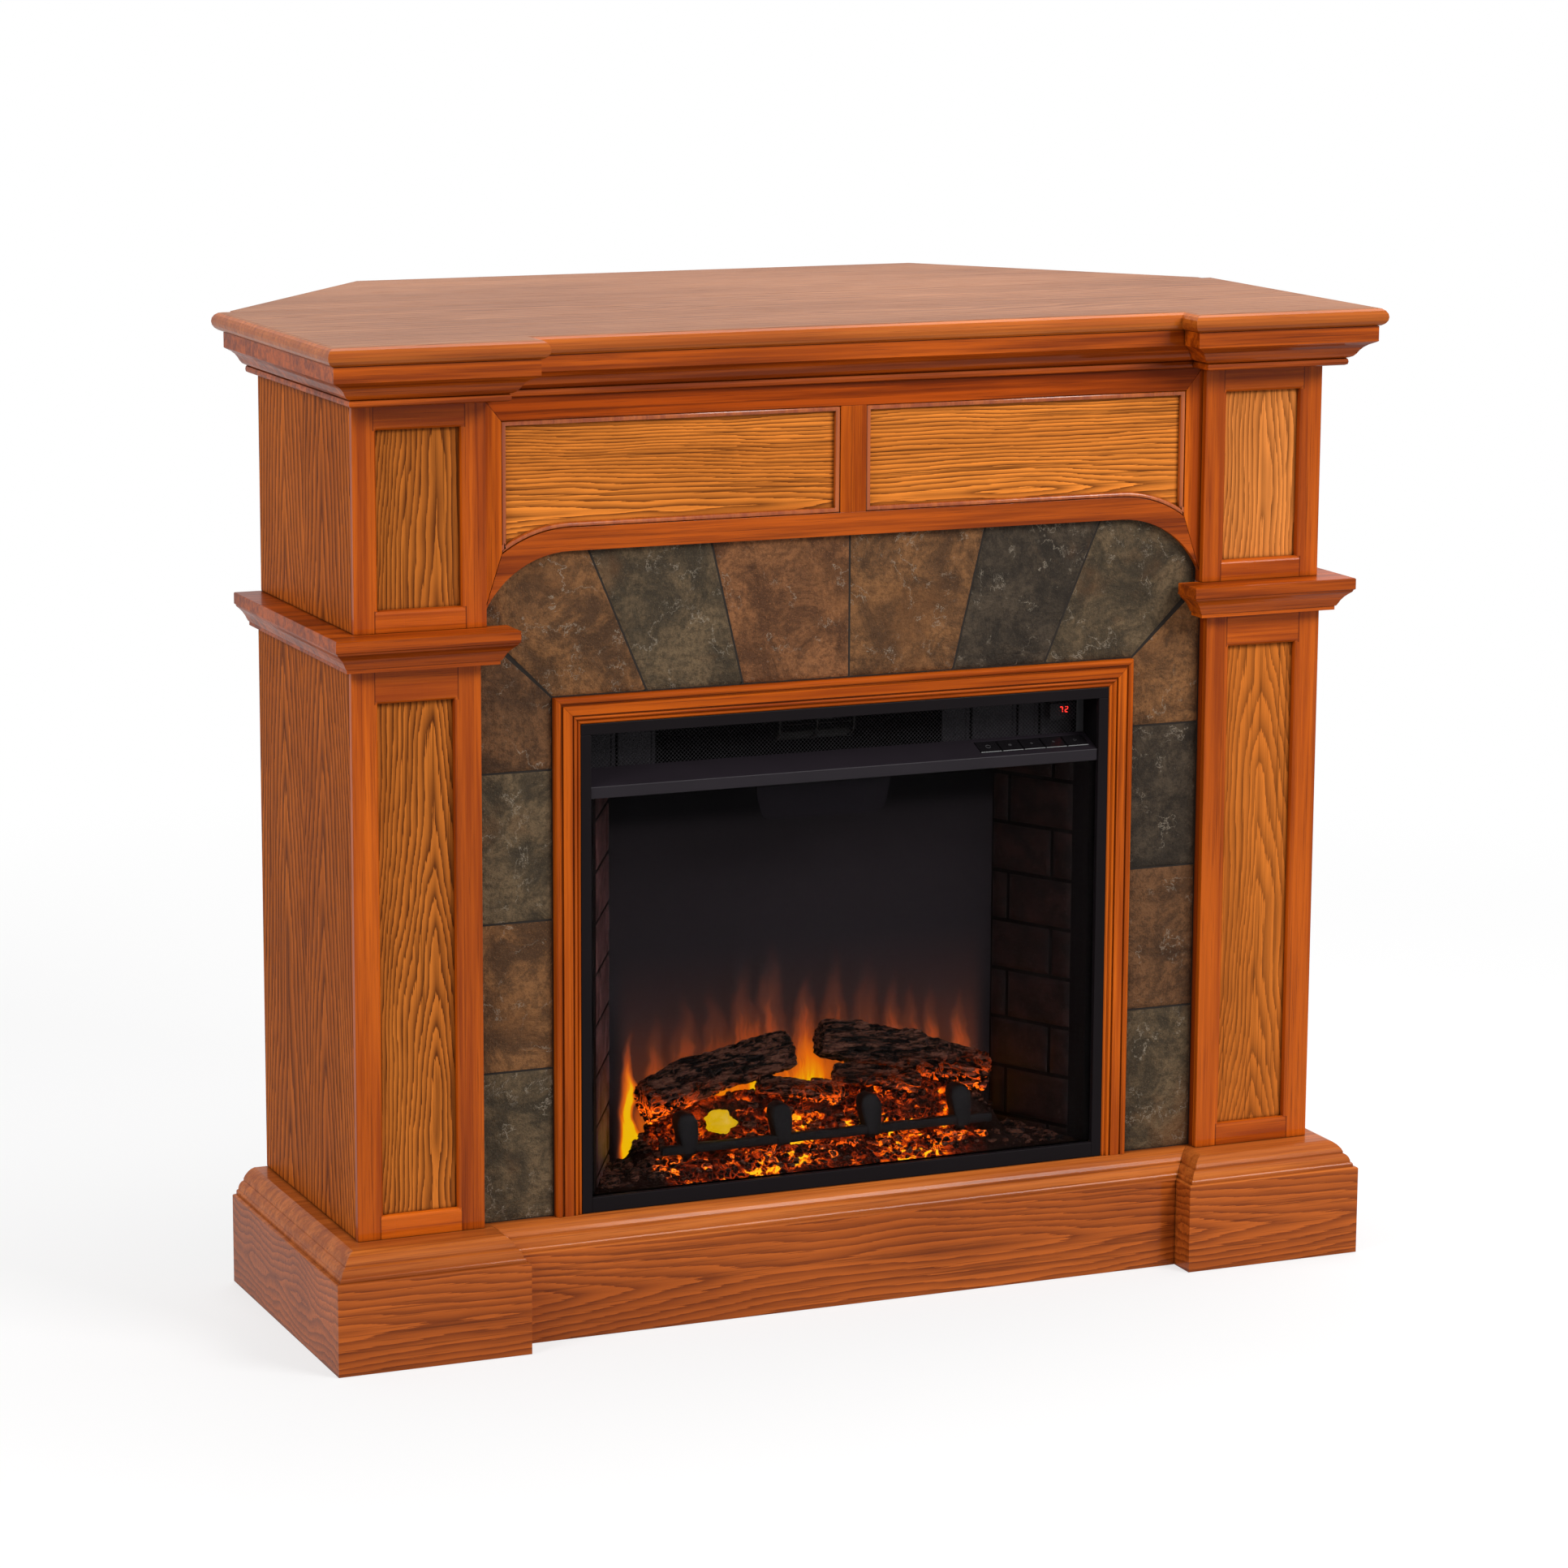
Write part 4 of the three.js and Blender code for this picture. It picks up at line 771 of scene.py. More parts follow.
def plate(name, outline, front, back):
    """A flat plate in the front plane with an outline of (x, z) points."""
    mesh = bpy.data.meshes.new(name)
    made = bmesh.new()
    face = made.faces.new([made.verts.new((x, front, z)) for x, z in outline])
    pushed = bmesh.ops.extrude_face_region(made, geom=[face])["geom"]
    for vert in (v for v in pushed if isinstance(v, bmesh.types.BMVert)):
        vert.co.y = back
    bmesh.ops.recalc_face_normals(made, faces=made.faces)
    made.to_mesh(mesh)
    made.free()
    return linked(name, mesh)


def cut_slab(name, outline, cell, gap, depth, surface):
    """A slab facing the front at y = 0, cut from a fine grid to a convex run of (x, z) points.

    outline runs anticlockwise on the middle of the joints, gap is half a joint, and surface gives how far
    back the face lies at a spot that is so far inside the slab's edge.
    """
    xs, zs = zip(*outline)
    wide, tall = max(xs) - min(xs), max(zs) - min(zs)
    obj = grid(name, (max(2, int(wide / cell)), max(2, int(tall / cell))),
               (min(xs) + wide / 2, 0, min(zs) + tall / 2), wide, tall, upright=True)
    edges = []
    edit(obj)
    for (x0, z0), (x1, z1) in zip(outline, outline[1:] + outline[:1]):
        length = math.hypot(x1 - x0, z1 - z0)
        normal = ((z1 - z0) / length, -(x1 - x0) / length)
        start = (x0 - normal[0] * gap, z0 - normal[1] * gap)
        edges.append((start, normal))
        cut_through((start[0], 0, start[1]), (normal[0], 0, normal[1]), clear_outer=True)
    leave_edit()
    for vert in obj.data.vertices:
        inside = min(-((vert.co.x - s[0]) * n[0] + (vert.co.z - s[1]) * n[1]) for s, n in edges)
        vert.co.y = surface(vert.co, inside)
    apply_modifier(obj, "SOLIDIFY", thickness=depth, offset=-1)
    return closed_up(obj)


def tile(name, outline, seed, finish, stands_for):
    """One riven tile of the surround."""
    shift = Vector((seed * 3.1, 0, seed * 1.7))

    def riven(spot, inside):
        worn = max(0.0, 1 - inside / 0.0035) ** 2 * 0.0011
        ledges = noise.fractal((spot + shift) * 26, 0.9, 2.1, 4) * 0.00055
        flakes = abs(noise.noise((spot + shift) * 75)) * 0.0005
        return TILE_FRONT + 0.0006 + min(0.0012, max(-0.0005, worn + ledges + flakes))

    obj = cut_slab(name, outline, TILE_CELL, GROUT_HALF, TILE_BACK - TILE_FRONT - 0.002, riven)
    return finish_piece(obj, finish, stands_for=stands_for, smooth=50)


WOOD_GAP = 0.0003
trim_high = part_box("trim_top")[1]
BAND_FOOT, TRIM_EDGE = trim_high.z + WOOD_GAP, trim_high.x + WOOD_GAP
ARCH_FOOT = 0.805
BAND_HEAD, PILASTER_EDGE = band_high.z, band_high.x
LEG_EDGE, LEG_FOOT = leg_high.x, leg_low.z
CORNER_TOP = leg_high.z + 2 * WOOD_GAP
FAN = ((0.0, 0.0), (0.1173, 0.1523), (0.222, 0.285))
LEG_JOINTS = (0.2769, 0.4305, 0.5841)
TOP_COLOURS = ("brown", "green", "rust", "brown", "grey", "green")
LEG_COLOURS = {"left": ("green", "brown", "green", "umber"), "right": ("green", "umber", "grey", "brown")}


def fan_line(low, high, side):
    """Ends of a joint of the fan, at the foot and at the head of the band."""
    lean = (high - low) / (ARCH_FOOT - BAND_FOOT)
    return (side * low, BAND_FOOT), (side * (high + lean * (BAND_HEAD - ARCH_FOOT)), BAND_HEAD)


rim_turns = [math.radians(10 * step) for step in range(4, 10)]
rim = arc(ARCH_MIDDLE, BAND_HEAD - ARCH_MIDDLE[1], rim_turns)
inner_low, inner_high = fan_line(*FAN[2], 1)
end_tile = [inner_low, (TRIM_EDGE, BAND_FOOT), (PILASTER_EDGE, CORNER_TOP)]
end_tile += [point for point in rim if point[0] < PILASTER_EDGE] + [inner_high]
slates = {colour: slate(f"slate_{colour}", number + 1, colour) for number, colour in enumerate(SLATE)}
top_outlines = [mirrored(end_tile, -1)]
for (low_a, high_a), (low_b, high_b) in ((FAN[2], FAN[1]), (FAN[1], FAN[0])):
    outer, inner = fan_line(low_a, high_a, -1), fan_line(low_b, high_b, -1)
    top_outlines.append([outer[0], inner[0], inner[1], outer[1]])
top_outlines += [mirrored(outline, -1) for outline in reversed(top_outlines)]
for number, (outline, colour) in enumerate(zip(top_outlines, TOP_COLOURS)):
    tile(f"tile_top_{number + 1}", outline, number + 1, slates[colour], ("slate_top",))
for label, side in SIDES:
    heights = (LEG_FOOT, *LEG_JOINTS, BAND_FOOT)
    for number, (foot, head) in enumerate(zip(heights, heights[1:])):
        corner_head = CORNER_TOP if number == 3 else head
        outline = [(TRIM_EDGE, foot), (LEG_EDGE, foot), (LEG_EDGE, corner_head), (TRIM_EDGE, head)]
        tile(f"tile_{label}_{number + 1}", mirrored(outline, side), 11 + number + 5 * side,
             slates[LEG_COLOURS[label][number]], (f"slate_{label}",))
grout_finish = coated("grout", GROUT, 0.85, 600, 0.0003, specular=0.1)
half_bed = [(TRIM_EDGE, BAND_FOOT), (PILASTER_EDGE, CORNER_TOP)] + [p for p in rim if p[0] < PILASTER_EDGE]
bed_outline = mirrored(half_bed, -1)[-1:] + half_bed + mirrored(half_bed, -1)[:-1]
finish_piece(plate("grout_top", bed_outline, TILE_FRONT + GROUT_RECESS, TILE_BACK), grout_finish)
for label, side in SIDES:
    leg = [(TRIM_EDGE, LEG_FOOT), (LEG_EDGE, LEG_FOOT), (LEG_EDGE, CORNER_TOP), (TRIM_EDGE, CORNER_TOP)]
    finish_piece(plate(f"grout_{label}", mirrored(leg, side), TILE_FRONT + 1.2 * GROUT_RECESS, TILE_BACK),
                 grout_finish)

# Fillets of grout that close the hairline between the slate and the pilasters: edge, foot and head.
FILLETS = {"upper": (PILASTER_EDGE, 0.7355, BAND_HEAD), "lower": (LEG_EDGE, LEG_FOOT, 0.6995)}
FILLET_LAP, FILLET_WIDTH = 0.0004, 0.0030
FILLET_FRONT = at(0, 66.3, 0).y
for label, side in SIDES:
    for level, (edge, foot, head) in FILLETS.items():
        inner, outer = sorted((side * (edge - FILLET_LAP), side * (edge + FILLET_WIDTH)))
        strip = block(f"grout_fillet_{level}_{label}", Vector((inner, FILLET_FRONT, foot)),
                      Vector((outer, TILE_BACK - 0.0005, head)))
        finish_piece(strip, grout_finish)

# ------------------------------------------------------------------ insert
BEZEL = [*both("bezel"), "bezel_top", "bezel_bottom"]
paint(BEZEL, black_coat)
paint(["control_ledge"], black_moulding)
key_black = coated("key_black", (0.0065, 0.0055, 0.0065), 0.24, 1500, specular=0.22)
paint([f"button_{number}" for number in range(1, 6)], key_black)
paint(["heater_housing", "case_back"], black_inside)
paint(["cord_gland"], black_moulding)
paint(["leaf_hinge_fixed", "leaf_hinge_moving", "flame_rotor"], zinc_plate)
paint(["blower_wheel"], dark_zinc)
paint(["glass"], smoked_glass())
paint(["flame_screen"], lit_screen())
mortar = coated("mortar", (0.008, 0.006, 0.006), 0.8, 300, 0.0003, specular=0.06)
paint(both("brick_wall"), mortar)
ease([*BEZEL, "control_ledge"], 0.0007)

# Bricks: courses on both liners, face up to the fire, joints staggered from course to course.
COURSE = 0.0535
FIRST_JOINT = 0.1493
JOINT_SHARES = (0.74, 0.21)
LINER_BACK, LINER_FRONT = 0.220, 0.2787
BRICK_SHARE = 0.855
BRICK_GAP = 0.0021
BRICK_PROUD = 0.0016
BRICK_CELL = 0.004
BRICK_DEPTH = 0.003


def brick_face(shift):
    def face(spot, inside):
        worn = max(0.0, 1 - inside / 0.004) ** 2 * 0.0012
        pits = abs(noise.noise(spot * 160 + shift)) * 0.0005
        return worn + pits + noise.fractal(spot * 60 + shift, 1.0, 2.0, 3) * 0.0003
    return face


# The left liner stands in the light of the fire, the right one in the shade of the frame.
BRICK_TONES = {
    "left": ((0.20, 0.088, 0.080), (0.045, 0.018, 0.016)),
    "right": ((0.040, 0.0155, 0.0125), (0.010, 0.0042, 0.0036)),
}
for label, side in SIDES:
    low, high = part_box(f"brick_wall_{label}")
    run = math.hypot(LINER_FRONT - LINER_BACK, high.y - low.y)
    turn = -side * math.atan2(high.y - low.y, LINER_FRONT - LINER_BACK)
    start = Vector((LINER_BACK, high.y, 0)) if side > 0 else Vector((-LINER_FRONT, low.y, 0))
    begin, end = (0.0, run * BRICK_SHARE) if side > 0 else (run * (1 - BRICK_SHARE), run)
    joints = [low.z] + [FIRST_JOINT + COURSE * i for i in range(8)] + [high.z]
    bricks = []
    for course, (foot, head) in enumerate(zip(joints, joints[1:])):
        joint = run * BRICK_SHARE * JOINT_SHARES[course % 2]
        joint = joint if side > 0 else run - joint
        for number, (left, right) in enumerate(((begin, joint), (joint, end))):
            outline = [(left, foot), (right, foot), (right, head), (left, head)]
            face = brick_face(Vector((course * 2.3, number * 1.9, side * 4.1)))
            brick = cut_slab(f"brick_{label}_{course}_{number}", outline, BRICK_CELL, BRICK_GAP, BRICK_DEPTH,
                             face)
            brick.data.transform(Matrix.Translation(start) @ Matrix.Rotation(turn, 4, "Z")
                                 @ Matrix.Translation((0, -BRICK_PROUD, 0)))
            bricks.append(brick)
    brick_faces = brick_finish(f"brick_faces_{label}", *BRICK_TONES[label])
    finish_piece(joined(f"bricks_{label}", bricks), brick_faces, smooth=50)


# ------------------------------------------------------------------ logs
BLUNT_END = 0.012
BARK_TAPER = 0.08


def round_blank(name, rings):
    """A round of unit size with so many cuts along it and finely divided ends."""
    deselect()
    bpy.ops.mesh.primitive_cylinder_add(vertices=84, radius=1, depth=1, end_fill_type="NGON")
    obj = settle(name)
    edit(obj)
    pick("EDGE", lambda edges: [e for e in edges if abs(e.verts[0].co.z - e.verts[1].co.z) > 0.5])
    bpy.ops.mesh.subdivide(number_cuts=rings)
    pick("FACE", lambda faces: [face for face in faces if len(face.verts) > 4])
    for share in (0.1, 0.22, 0.25, 0.2):
        bpy.ops.mesh.inset(thickness=share, use_individual=True)
    bpy.ops.mesh.poke()
    leave_edit()
    return obj


def bark_relief(around, along, angle, radius, length, drift, knots):
    """How far the bark stands out at a direction and at a distance along the log."""

    def run(scale):
        return Vector((0, 0, along * scale))

    furrow = max(0.0, 1 - abs(noise.noise(around * 2.3 + run(17) + drift)) / 0.17) ** 1.5
    cross = max(0.0, 1 - abs(noise.noise(around * 1.2 + run(60) + drift)) / 0.1)
    relief = -0.0062 * furrow - 0.0026 * cross
    relief += noise.fractal(around * 5 + run(70) + drift, 0.8, 2.2, 4) * 0.0021
    relief += noise.noise(around * 0.9 + run(9) + drift) * 0.0035
    for place, turn, size, height in knots:
        gap = math.hypot(along - place * length, radius * math.remainder(angle - turn, math.tau))
        relief += height * math.exp(-(gap / size) ** 2)
        relief -= 0.45 * height * math.exp(-(gap / (size * 0.42)) ** 2)
    return relief


def log(name, start, end, radius, finish, seed, knots=(), bend=0.005, rings=110, stands_for=()):
    """A charred round between two points, with furrowed bark, knots and cracked ends."""
    obj = round_blank(name, rings)
    axis = end - start
    length = axis.length
    ahead = axis.normalized()
    flat = Vector((-ahead.y, ahead.x, 0)).normalized()
    up = ahead.cross(flat)
    drift = Vector((seed * 1.3, seed * 0.7, seed * 2.1))
    for vert in obj.data.vertices:
        share = vert.co.z + 0.5
        rim = math.hypot(vert.co.x, vert.co.y)
        angle = math.atan2(vert.co.y, vert.co.x)
        around = Vector((math.cos(angle), math.sin(angle), 0))
        relief = bark_relief(around, share * length, angle, radius, length, drift, knots)
        from_end = min(share, 1 - share) * length
        blunt = 0.80 + 0.2 * math.sqrt(min(1.0, from_end / BLUNT_END))
        reach = (radius * (1 - BARK_TAPER * share) * blunt + relief * min(1, rim * 1.2)) * rim
        centre = start + axis * share + up * bend * math.sin(math.pi * share)
        outward = -1 if share < 0.5 else 1
        if from_end < 1e-4:
            rings_cut = math.sin(rim * 26) * 0.0006 + noise.noise(around * rim * 3 + drift) * 0.0035
            centre = centre + ahead * outward * (rings_cut - 0.004 * rim)
        vert.co = centre + (flat * around.x + up * around.y) * reach
    closed_up(obj)
    return finish_piece(obj, finish, stands_for=stands_for, smooth=60)


char_left = char("char_left", 1, 0.190, 0.240, 3.4)
char_right = char("char_right", 2, 0.190, 0.242, 3.4)
char_small = char("char_small", 3, 0.190, 0.230, 2.8)
log("sculpted_log_left", at(-200, 138, 208), at(-27, 150, 250), 0.0235, char_left, 3,
    knots=((0.30, 1.2, 0.012, 0.005), (0.72, 2.0, 0.010, 0.004)), stands_for=("log_left",))
log("sculpted_log_right", at(195, 138, 204), at(4, 150, 256), 0.0225, char_right, 8,
    knots=((0.46, 1.3, 0.011, 0.009), (0.8, 2.2, 0.012, 0.004)), stands_for=("log_right",))
log("split_log_right", at(112, 127, 204), at(14, 131, 222), 0.0125, char_small, 15, rings=44, bend=0.002,
    knots=((0.1, 1.5, 0.008, 0.003),))
log("split_log_left", at(-6, 124, 204), at(-74, 128, 220), 0.0115, char_small, 21, rings=40, bend=0.002)
log("stub_middle", at(22, 122, 198), at(-14, 132, 208), 0.0125, char_small, 27, rings=32, bend=0.001)

# ------------------------------------------------------------------ ember bed and grate
HEARTH = 0.137
bed_low, bed_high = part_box("ember_bed")


def heap_rise(x, y):
    """Height of the embers over the tray; x and y in millimetres of the part's own layout."""
    front = min(1.0, max(0.0, (y - 76) / 20))
    behind = min(1.0, max(0.0, (178 - y) / 26))
    crest = min(1.0, max(0.0, (y - 108) / 26)) * behind
    middle = max(0.0, 1 - (abs(x) / 214) ** 6)
    ends = max(0.0, 1 - (abs(x) / 283) ** 4)
    lumps = noise.fractal(Vector((x, y, 7)) * 0.045, 0.9, 2.0, 3)
    fine = noise.noise(Vector((x, y, 3)) * 0.16)
    rise = 9 * math.sqrt(front) * middle * behind + 52 * crest * middle + 9 * ends * front * behind
    return max(0.4, rise + (3.4 * lumps + 1.8 * fine) * min(1.0, front * 3) * behind)


HEAP_CELLS = (190, 36)
HEAP_WIDE, HEAP_DEEP = 0.568, 0.106
heap = grid("ember_heap", HEAP_CELLS, at(0, 127, 137), HEAP_WIDE, HEAP_DEEP)
for vert in heap.data.vertices:
    vert.co.z = HEARTH + heap_rise(vert.co.x * 1000, vert.co.y * 1000 + FOOTPRINT_MIDDLE) / 1000
apply_modifier(heap, "SOLIDIFY", thickness=0.003, offset=-1)
closed_up(heap)
heap_glow = embers("ember_heap_glow", 2, 2.5)
finish_piece(heap, heap_glow, stands_for=("ember_bed",), smooth=60)

tray = block("hearth_tray", bed_low, Vector((bed_high.x, bed_high.y, HEARTH)), 0.0008)
finish_piece(tray, black_inside, stands_for=("ember_bed",))


def lump_shapes(count, subdivisions, seed, broken=0.10):
    """Broken lumps about one unit across, to be copied."""
    shapes = []
    for number in range(count):
        deselect()
        bpy.ops.mesh.primitive_ico_sphere_add(subdivisions=subdivisions, radius=0.5)
        obj = settle(f"lump_shape_{seed}_{number}")
        shift = Vector((seed * 2.7 + number * 5.1, number * 1.9, seed))
        for vert in obj.data.vertices:
            way = vert.co.normalized()
            flats = noise.cell(way * 1.15 + shift) * broken
            vert.co = way * (0.40 + 0.16 * noise.noise(way * 1.6 + shift) + flats
                             + 0.05 * noise.noise(way * 4.5 + shift))
        shapes.append(obj)
    return shapes


def scatter(name, shapes, places, finish, seed):
    """Copies of the shapes at (x, y, rise, size) places, turned at random and joined into one piece."""
    chance = random.Random(seed)
    copies = []
    for x, y, rise, size in places:
        source = chance.choice(shapes)
        copy = linked(name, source.data.copy())
        turn = Matrix.Rotation(chance.uniform(0, math.tau), 4, "Z")
        turn = turn @ Matrix.Rotation(chance.uniform(-0.6, 0.6), 4, "X")
        wider, flatter = chance.uniform(0.8, 1.35), chance.uniform(0.6, 0.9)
        squash = Matrix.Diagonal((size * wider, size, size * flatter, 1))
        spot = at(x, y, 137 + heap_rise(x, y) + rise)
        copy.data.transform(Matrix.Translation(spot) @ turn @ squash)
        copies.append(copy)
    return finish_piece(joined(name, copies), finish, smooth=40)


# The one lump that glows through, kept clear of the others.
GLOW_X = -122
GLOW_CLEAR, GLOW_FRONT = 20, 98
GLOW_SIZE = (0.040, 0.028, 0.029, 1)
chance = random.Random(41)
lumps = lump_shapes(6, 3, 2)
hot_lump = embers("ember_lump_glow", 5, 2.8)
crust_lump = char("ash_crust", 6, 0.146, 0.19, 2.6)


def random_places(count, xs, ys, rises, sizes, side=1):
    """Places for lumps: across, deep, above the heap and in size, each drawn evenly between two values."""
    places = []
    for _ in range(count):
        x, y, rise, size = (chance.uniform(*span) for span in (xs, ys, rises, sizes))
        places.append((side * x, y, rise, size))
    return places


hot_places = random_places(210, (-182, 158), (86, 146), (-4, 0), (0.009, 0.016))
crust_places = random_places(170, (-198, 172), (84, 152), (-3, 1), (0.008, 0.015))
ash_places = []
for _, side in SIDES:
    ash_places += random_places(76, (176, 268), (88, 160), (-3, 1), (0.008, 0.018), side)
ash_places += random_places(90, (-262, 262), (81, 88), (-2, 0), (0.005, 0.009))


def clear_of_glow(places):
    return [place for place in places if abs(place[0] - GLOW_X) > GLOW_CLEAR or place[1] < GLOW_FRONT]


hot_places, crust_places = clear_of_glow(hot_places), clear_of_glow(crust_places)
scatter("coals_hot", lumps, hot_places, hot_lump, 5)
scatter("coals_crusted", lumps, crust_places, crust_lump, 6)
scatter("ash_lumps", lumps, ash_places, char("cold_ash", 9, 0.0, 0.001, 0.0), 7)
for shape in lumps:
    bpy.data.objects.remove(shape)

glow_core = lump_shapes(1, 4, 9, broken=0.0)[0]
glow_core.data.transform(Matrix.Translation(at(GLOW_X, 113, 188)) @ Matrix.Diagonal(GLOW_SIZE))
glow_core.name = "glow_core"
finish_piece(glow_core, lamp("glow_core_light", (0.94, 0.56, 0.0015), 1.15), smooth=60)

GRATE_Y = 106
GRATE_Z = 167
# The vector noise on the castings follows the clock unless it is seeded.
noise.seed_set(7)


def grate_post(name, x, lean):
    """A cast finger that stands on the bar, with a blunt head that leans back to the logs."""
    outline = ((-7, 160), (7, 160), (9, 170), (11, 182), (11.5, 194), (7, 201), (-1, 203),
               (-9, 200), (-11.5, 192), (-10.5, 181), (-8.5, 170))
    obj = plate(name, [((x + dx) / 1000, z / 1000) for dx, z in outline], at(0, GRATE_Y - 11, 0).y,
                at(0, GRATE_Y + 8, 0).y)
    apply_modifier(obj, "BEVEL", width=0.0028, segments=3, limit_method="ANGLE",
                   angle_limit=math.radians(50))
    for vert in obj.data.vertices:
        vert.co.y += lean * max(0.0, vert.co.z - 0.16) ** 1.3
        vert.co += noise.noise_vector(vert.co * 70) * 0.0005
    return obj


BAR_LEFT, BAR_RIGHT, BAR_PARTS = -193, 185, 40
bar = block("grate_bar", at(BAR_LEFT, GRATE_Y - 9, GRATE_Z - 5.5),
            at(BAR_RIGHT, GRATE_Y - 0.5, GRATE_Z + 4.5), 0.0022, segments=3)
edit(bar)
for number in range(1, BAR_PARTS):
    cut_through(at(BAR_LEFT + number * (BAR_RIGHT - BAR_LEFT) / BAR_PARTS, GRATE_Y, GRATE_Z), (1, 0, 0))
leave_edit()
for vert in bar.data.vertices:
    vert.co += noise.noise_vector(vert.co * 45) * 0.0009
POST_PLACES = (-162, -56, 46.5, 150.5)
posts = [grate_post(f"grate_post_{number}", x, 0.6) for number, x in enumerate(POST_PLACES)]
for number, x in enumerate(POST_PLACES):
    posts.append(block(f"grate_leg_{number}", at(x - 5, GRATE_Y - 3, 136.5), at(x + 5, GRATE_Y + 7, GRATE_Z),
                       0.0012))
cast_iron = coated("cast_iron", (0.014, 0.012, 0.012), 0.6, 260, 0.0004, specular=0.15)
finish_piece(joined("log_grate", [bar, *posts]), cast_iron, stands_for=("ember_bed",),
             smooth=50)

# ------------------------------------------------------------------ heater outlet: mesh, sheets and display
grille_low, grille_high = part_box("vent_grille")
MESH_PITCH = 0.0042
MESH_RIM = 0.004
MESH_WIRE = 0.0007
RIM_EASE = 0.0003
UNDER_RIM = 0.001
wide, tall = grille_high.x - grille_low.x, grille_high.z - grille_low.z
grille_middle = (grille_low + grille_high) / 2
reach = (wide + tall) / math.sqrt(2)
cells = int(reach / (MESH_PITCH / math.sqrt(2)))
deselect()
bpy.ops.mesh.primitive_grid_add(x_subdivisions=cells, y_subdivisions=cells, size=reach, location=(0, 0, 0),
                                rotation=(0, 0, math.pi / 4))
mesh_grille = settle("outlet_mesh")
edit(mesh_grille)
for axis, half in ((Vector((1, 0, 0)), wide / 2), (Vector((0, 1, 0)), tall / 2)):
    for outward in (axis, -axis):
        cut_through(outward * (half - UNDER_RIM), outward, clear_outer=True)
leave_edit()
mesh_grille.data.transform(Matrix.Translation(grille_middle) @ Matrix.Rotation(math.pi / 2, 4, "X"))
apply_modifier(mesh_grille, "WIREFRAME", thickness=MESH_WIRE, use_even_offset=False, use_boundary=True)
up = Vector((0, 0, MESH_RIM))
across = Vector((2 * MESH_RIM, 0, 0))
left_head = Vector((grille_low.x, grille_high.y, grille_high.z))
right_foot = Vector((grille_high.x, grille_low.y, grille_low.z))
left_head_front = Vector((grille_low.x, grille_low.y, grille_high.z))
right_foot_back = Vector((grille_high.x, grille_high.y, grille_low.z))
rims = [
    block("rim_foot", grille_low, right_foot_back + up, RIM_EASE),
    block("rim_head", left_head_front - up, grille_high, RIM_EASE),
    block("rim_left", grille_low + up, left_head - up + across, RIM_EASE),
    block("rim_right", right_foot + up - across, grille_high - up, RIM_EASE),
]
finish_piece(joined("vent_mesh", [mesh_grille, *rims]), black_wire,
             stands_for=("vent_grille",), smooth=0)

BAFFLE_FOOT, BAFFLE_HEAD = 553.8, 625.5
BAFFLE_FRONT, BAFFLE_BACK = 113, 115.4
BAFFLE_SPANS = ((-279, -238), (-235, -194), (128, 160), (163, 214), (217, 240), (243, 279))


def pressed_sheet(name, left, right):
    """A steel sheet behind the mesh with a sunk middle."""
    sheet = block(name, at(left, BAFFLE_FRONT, BAFFLE_FOOT), at(right, BAFFLE_BACK, BAFFLE_HEAD), 0.0004)
    edit(sheet)
    pick("FACE", lambda faces: [max(faces, key=lambda face: -face.normal.y * face.calc_area())])
    bpy.ops.mesh.inset(thickness=0.0035)
    bpy.ops.mesh.inset(thickness=0.0010, depth=-0.0011)
    leave_edit()
    return sheet


sheets = [pressed_sheet(f"baffle_{number}", *span) for number, span in enumerate(BAFFLE_SPANS)]
baffle_steel = coated("baffle_steel", (0.030, 0.026, 0.031), 0.5, 700, 0.00004, specular=0.15)
finish_piece(joined("outlet_baffles", sheets), baffle_steel, smooth=30)

display_box = block("display_case", at(246, 98, 590), at(276, 110, 608), 0.0008)
finish_piece(display_box, black_moulding)
# Strokes of a seven-segment figure: place across, place in height, and whether the stroke lies level.
SEGMENTS = {"a": (0, 1, True), "b": (1, 0.5, False), "c": (1, -0.5, False), "d": (0, -1, True),
            "e": (-1, -0.5, False), "g": (0, 0, True)}
LEVEL_STROKE, UPRIGHT_STROKE = Vector((0.0012, 0.0003, 0.00035)), Vector((0.00035, 0.0003, 0.0012))
DIGITS = {"7": "abc", "2": "abged"}
FIRST_DIGIT = (259, 97.6, 601)
DIGIT_STEP = 6
DIGIT_HALF_WIDE, DIGIT_HALF_TALL = 0.0014, 0.0028
strokes = []
for number, digit in enumerate("72"):
    middle = at(*FIRST_DIGIT) + Vector((number * DIGIT_STEP / 1000, 0, 0))
    for key in DIGITS[digit]:
        across, height, level = SEGMENTS[key]
        spot = middle + Vector((across * DIGIT_HALF_WIDE, 0, height * DIGIT_HALF_TALL))
        half = LEVEL_STROKE if level else UPRIGHT_STROKE
        strokes.append(block(f"stroke_{number}_{key}", spot - half, spot + half))
display_red = lamp("display_red", (1.0, 0.03, 0.02), 3.0)
finish_piece(joined("display_digits", strokes), display_red, smooth=0)
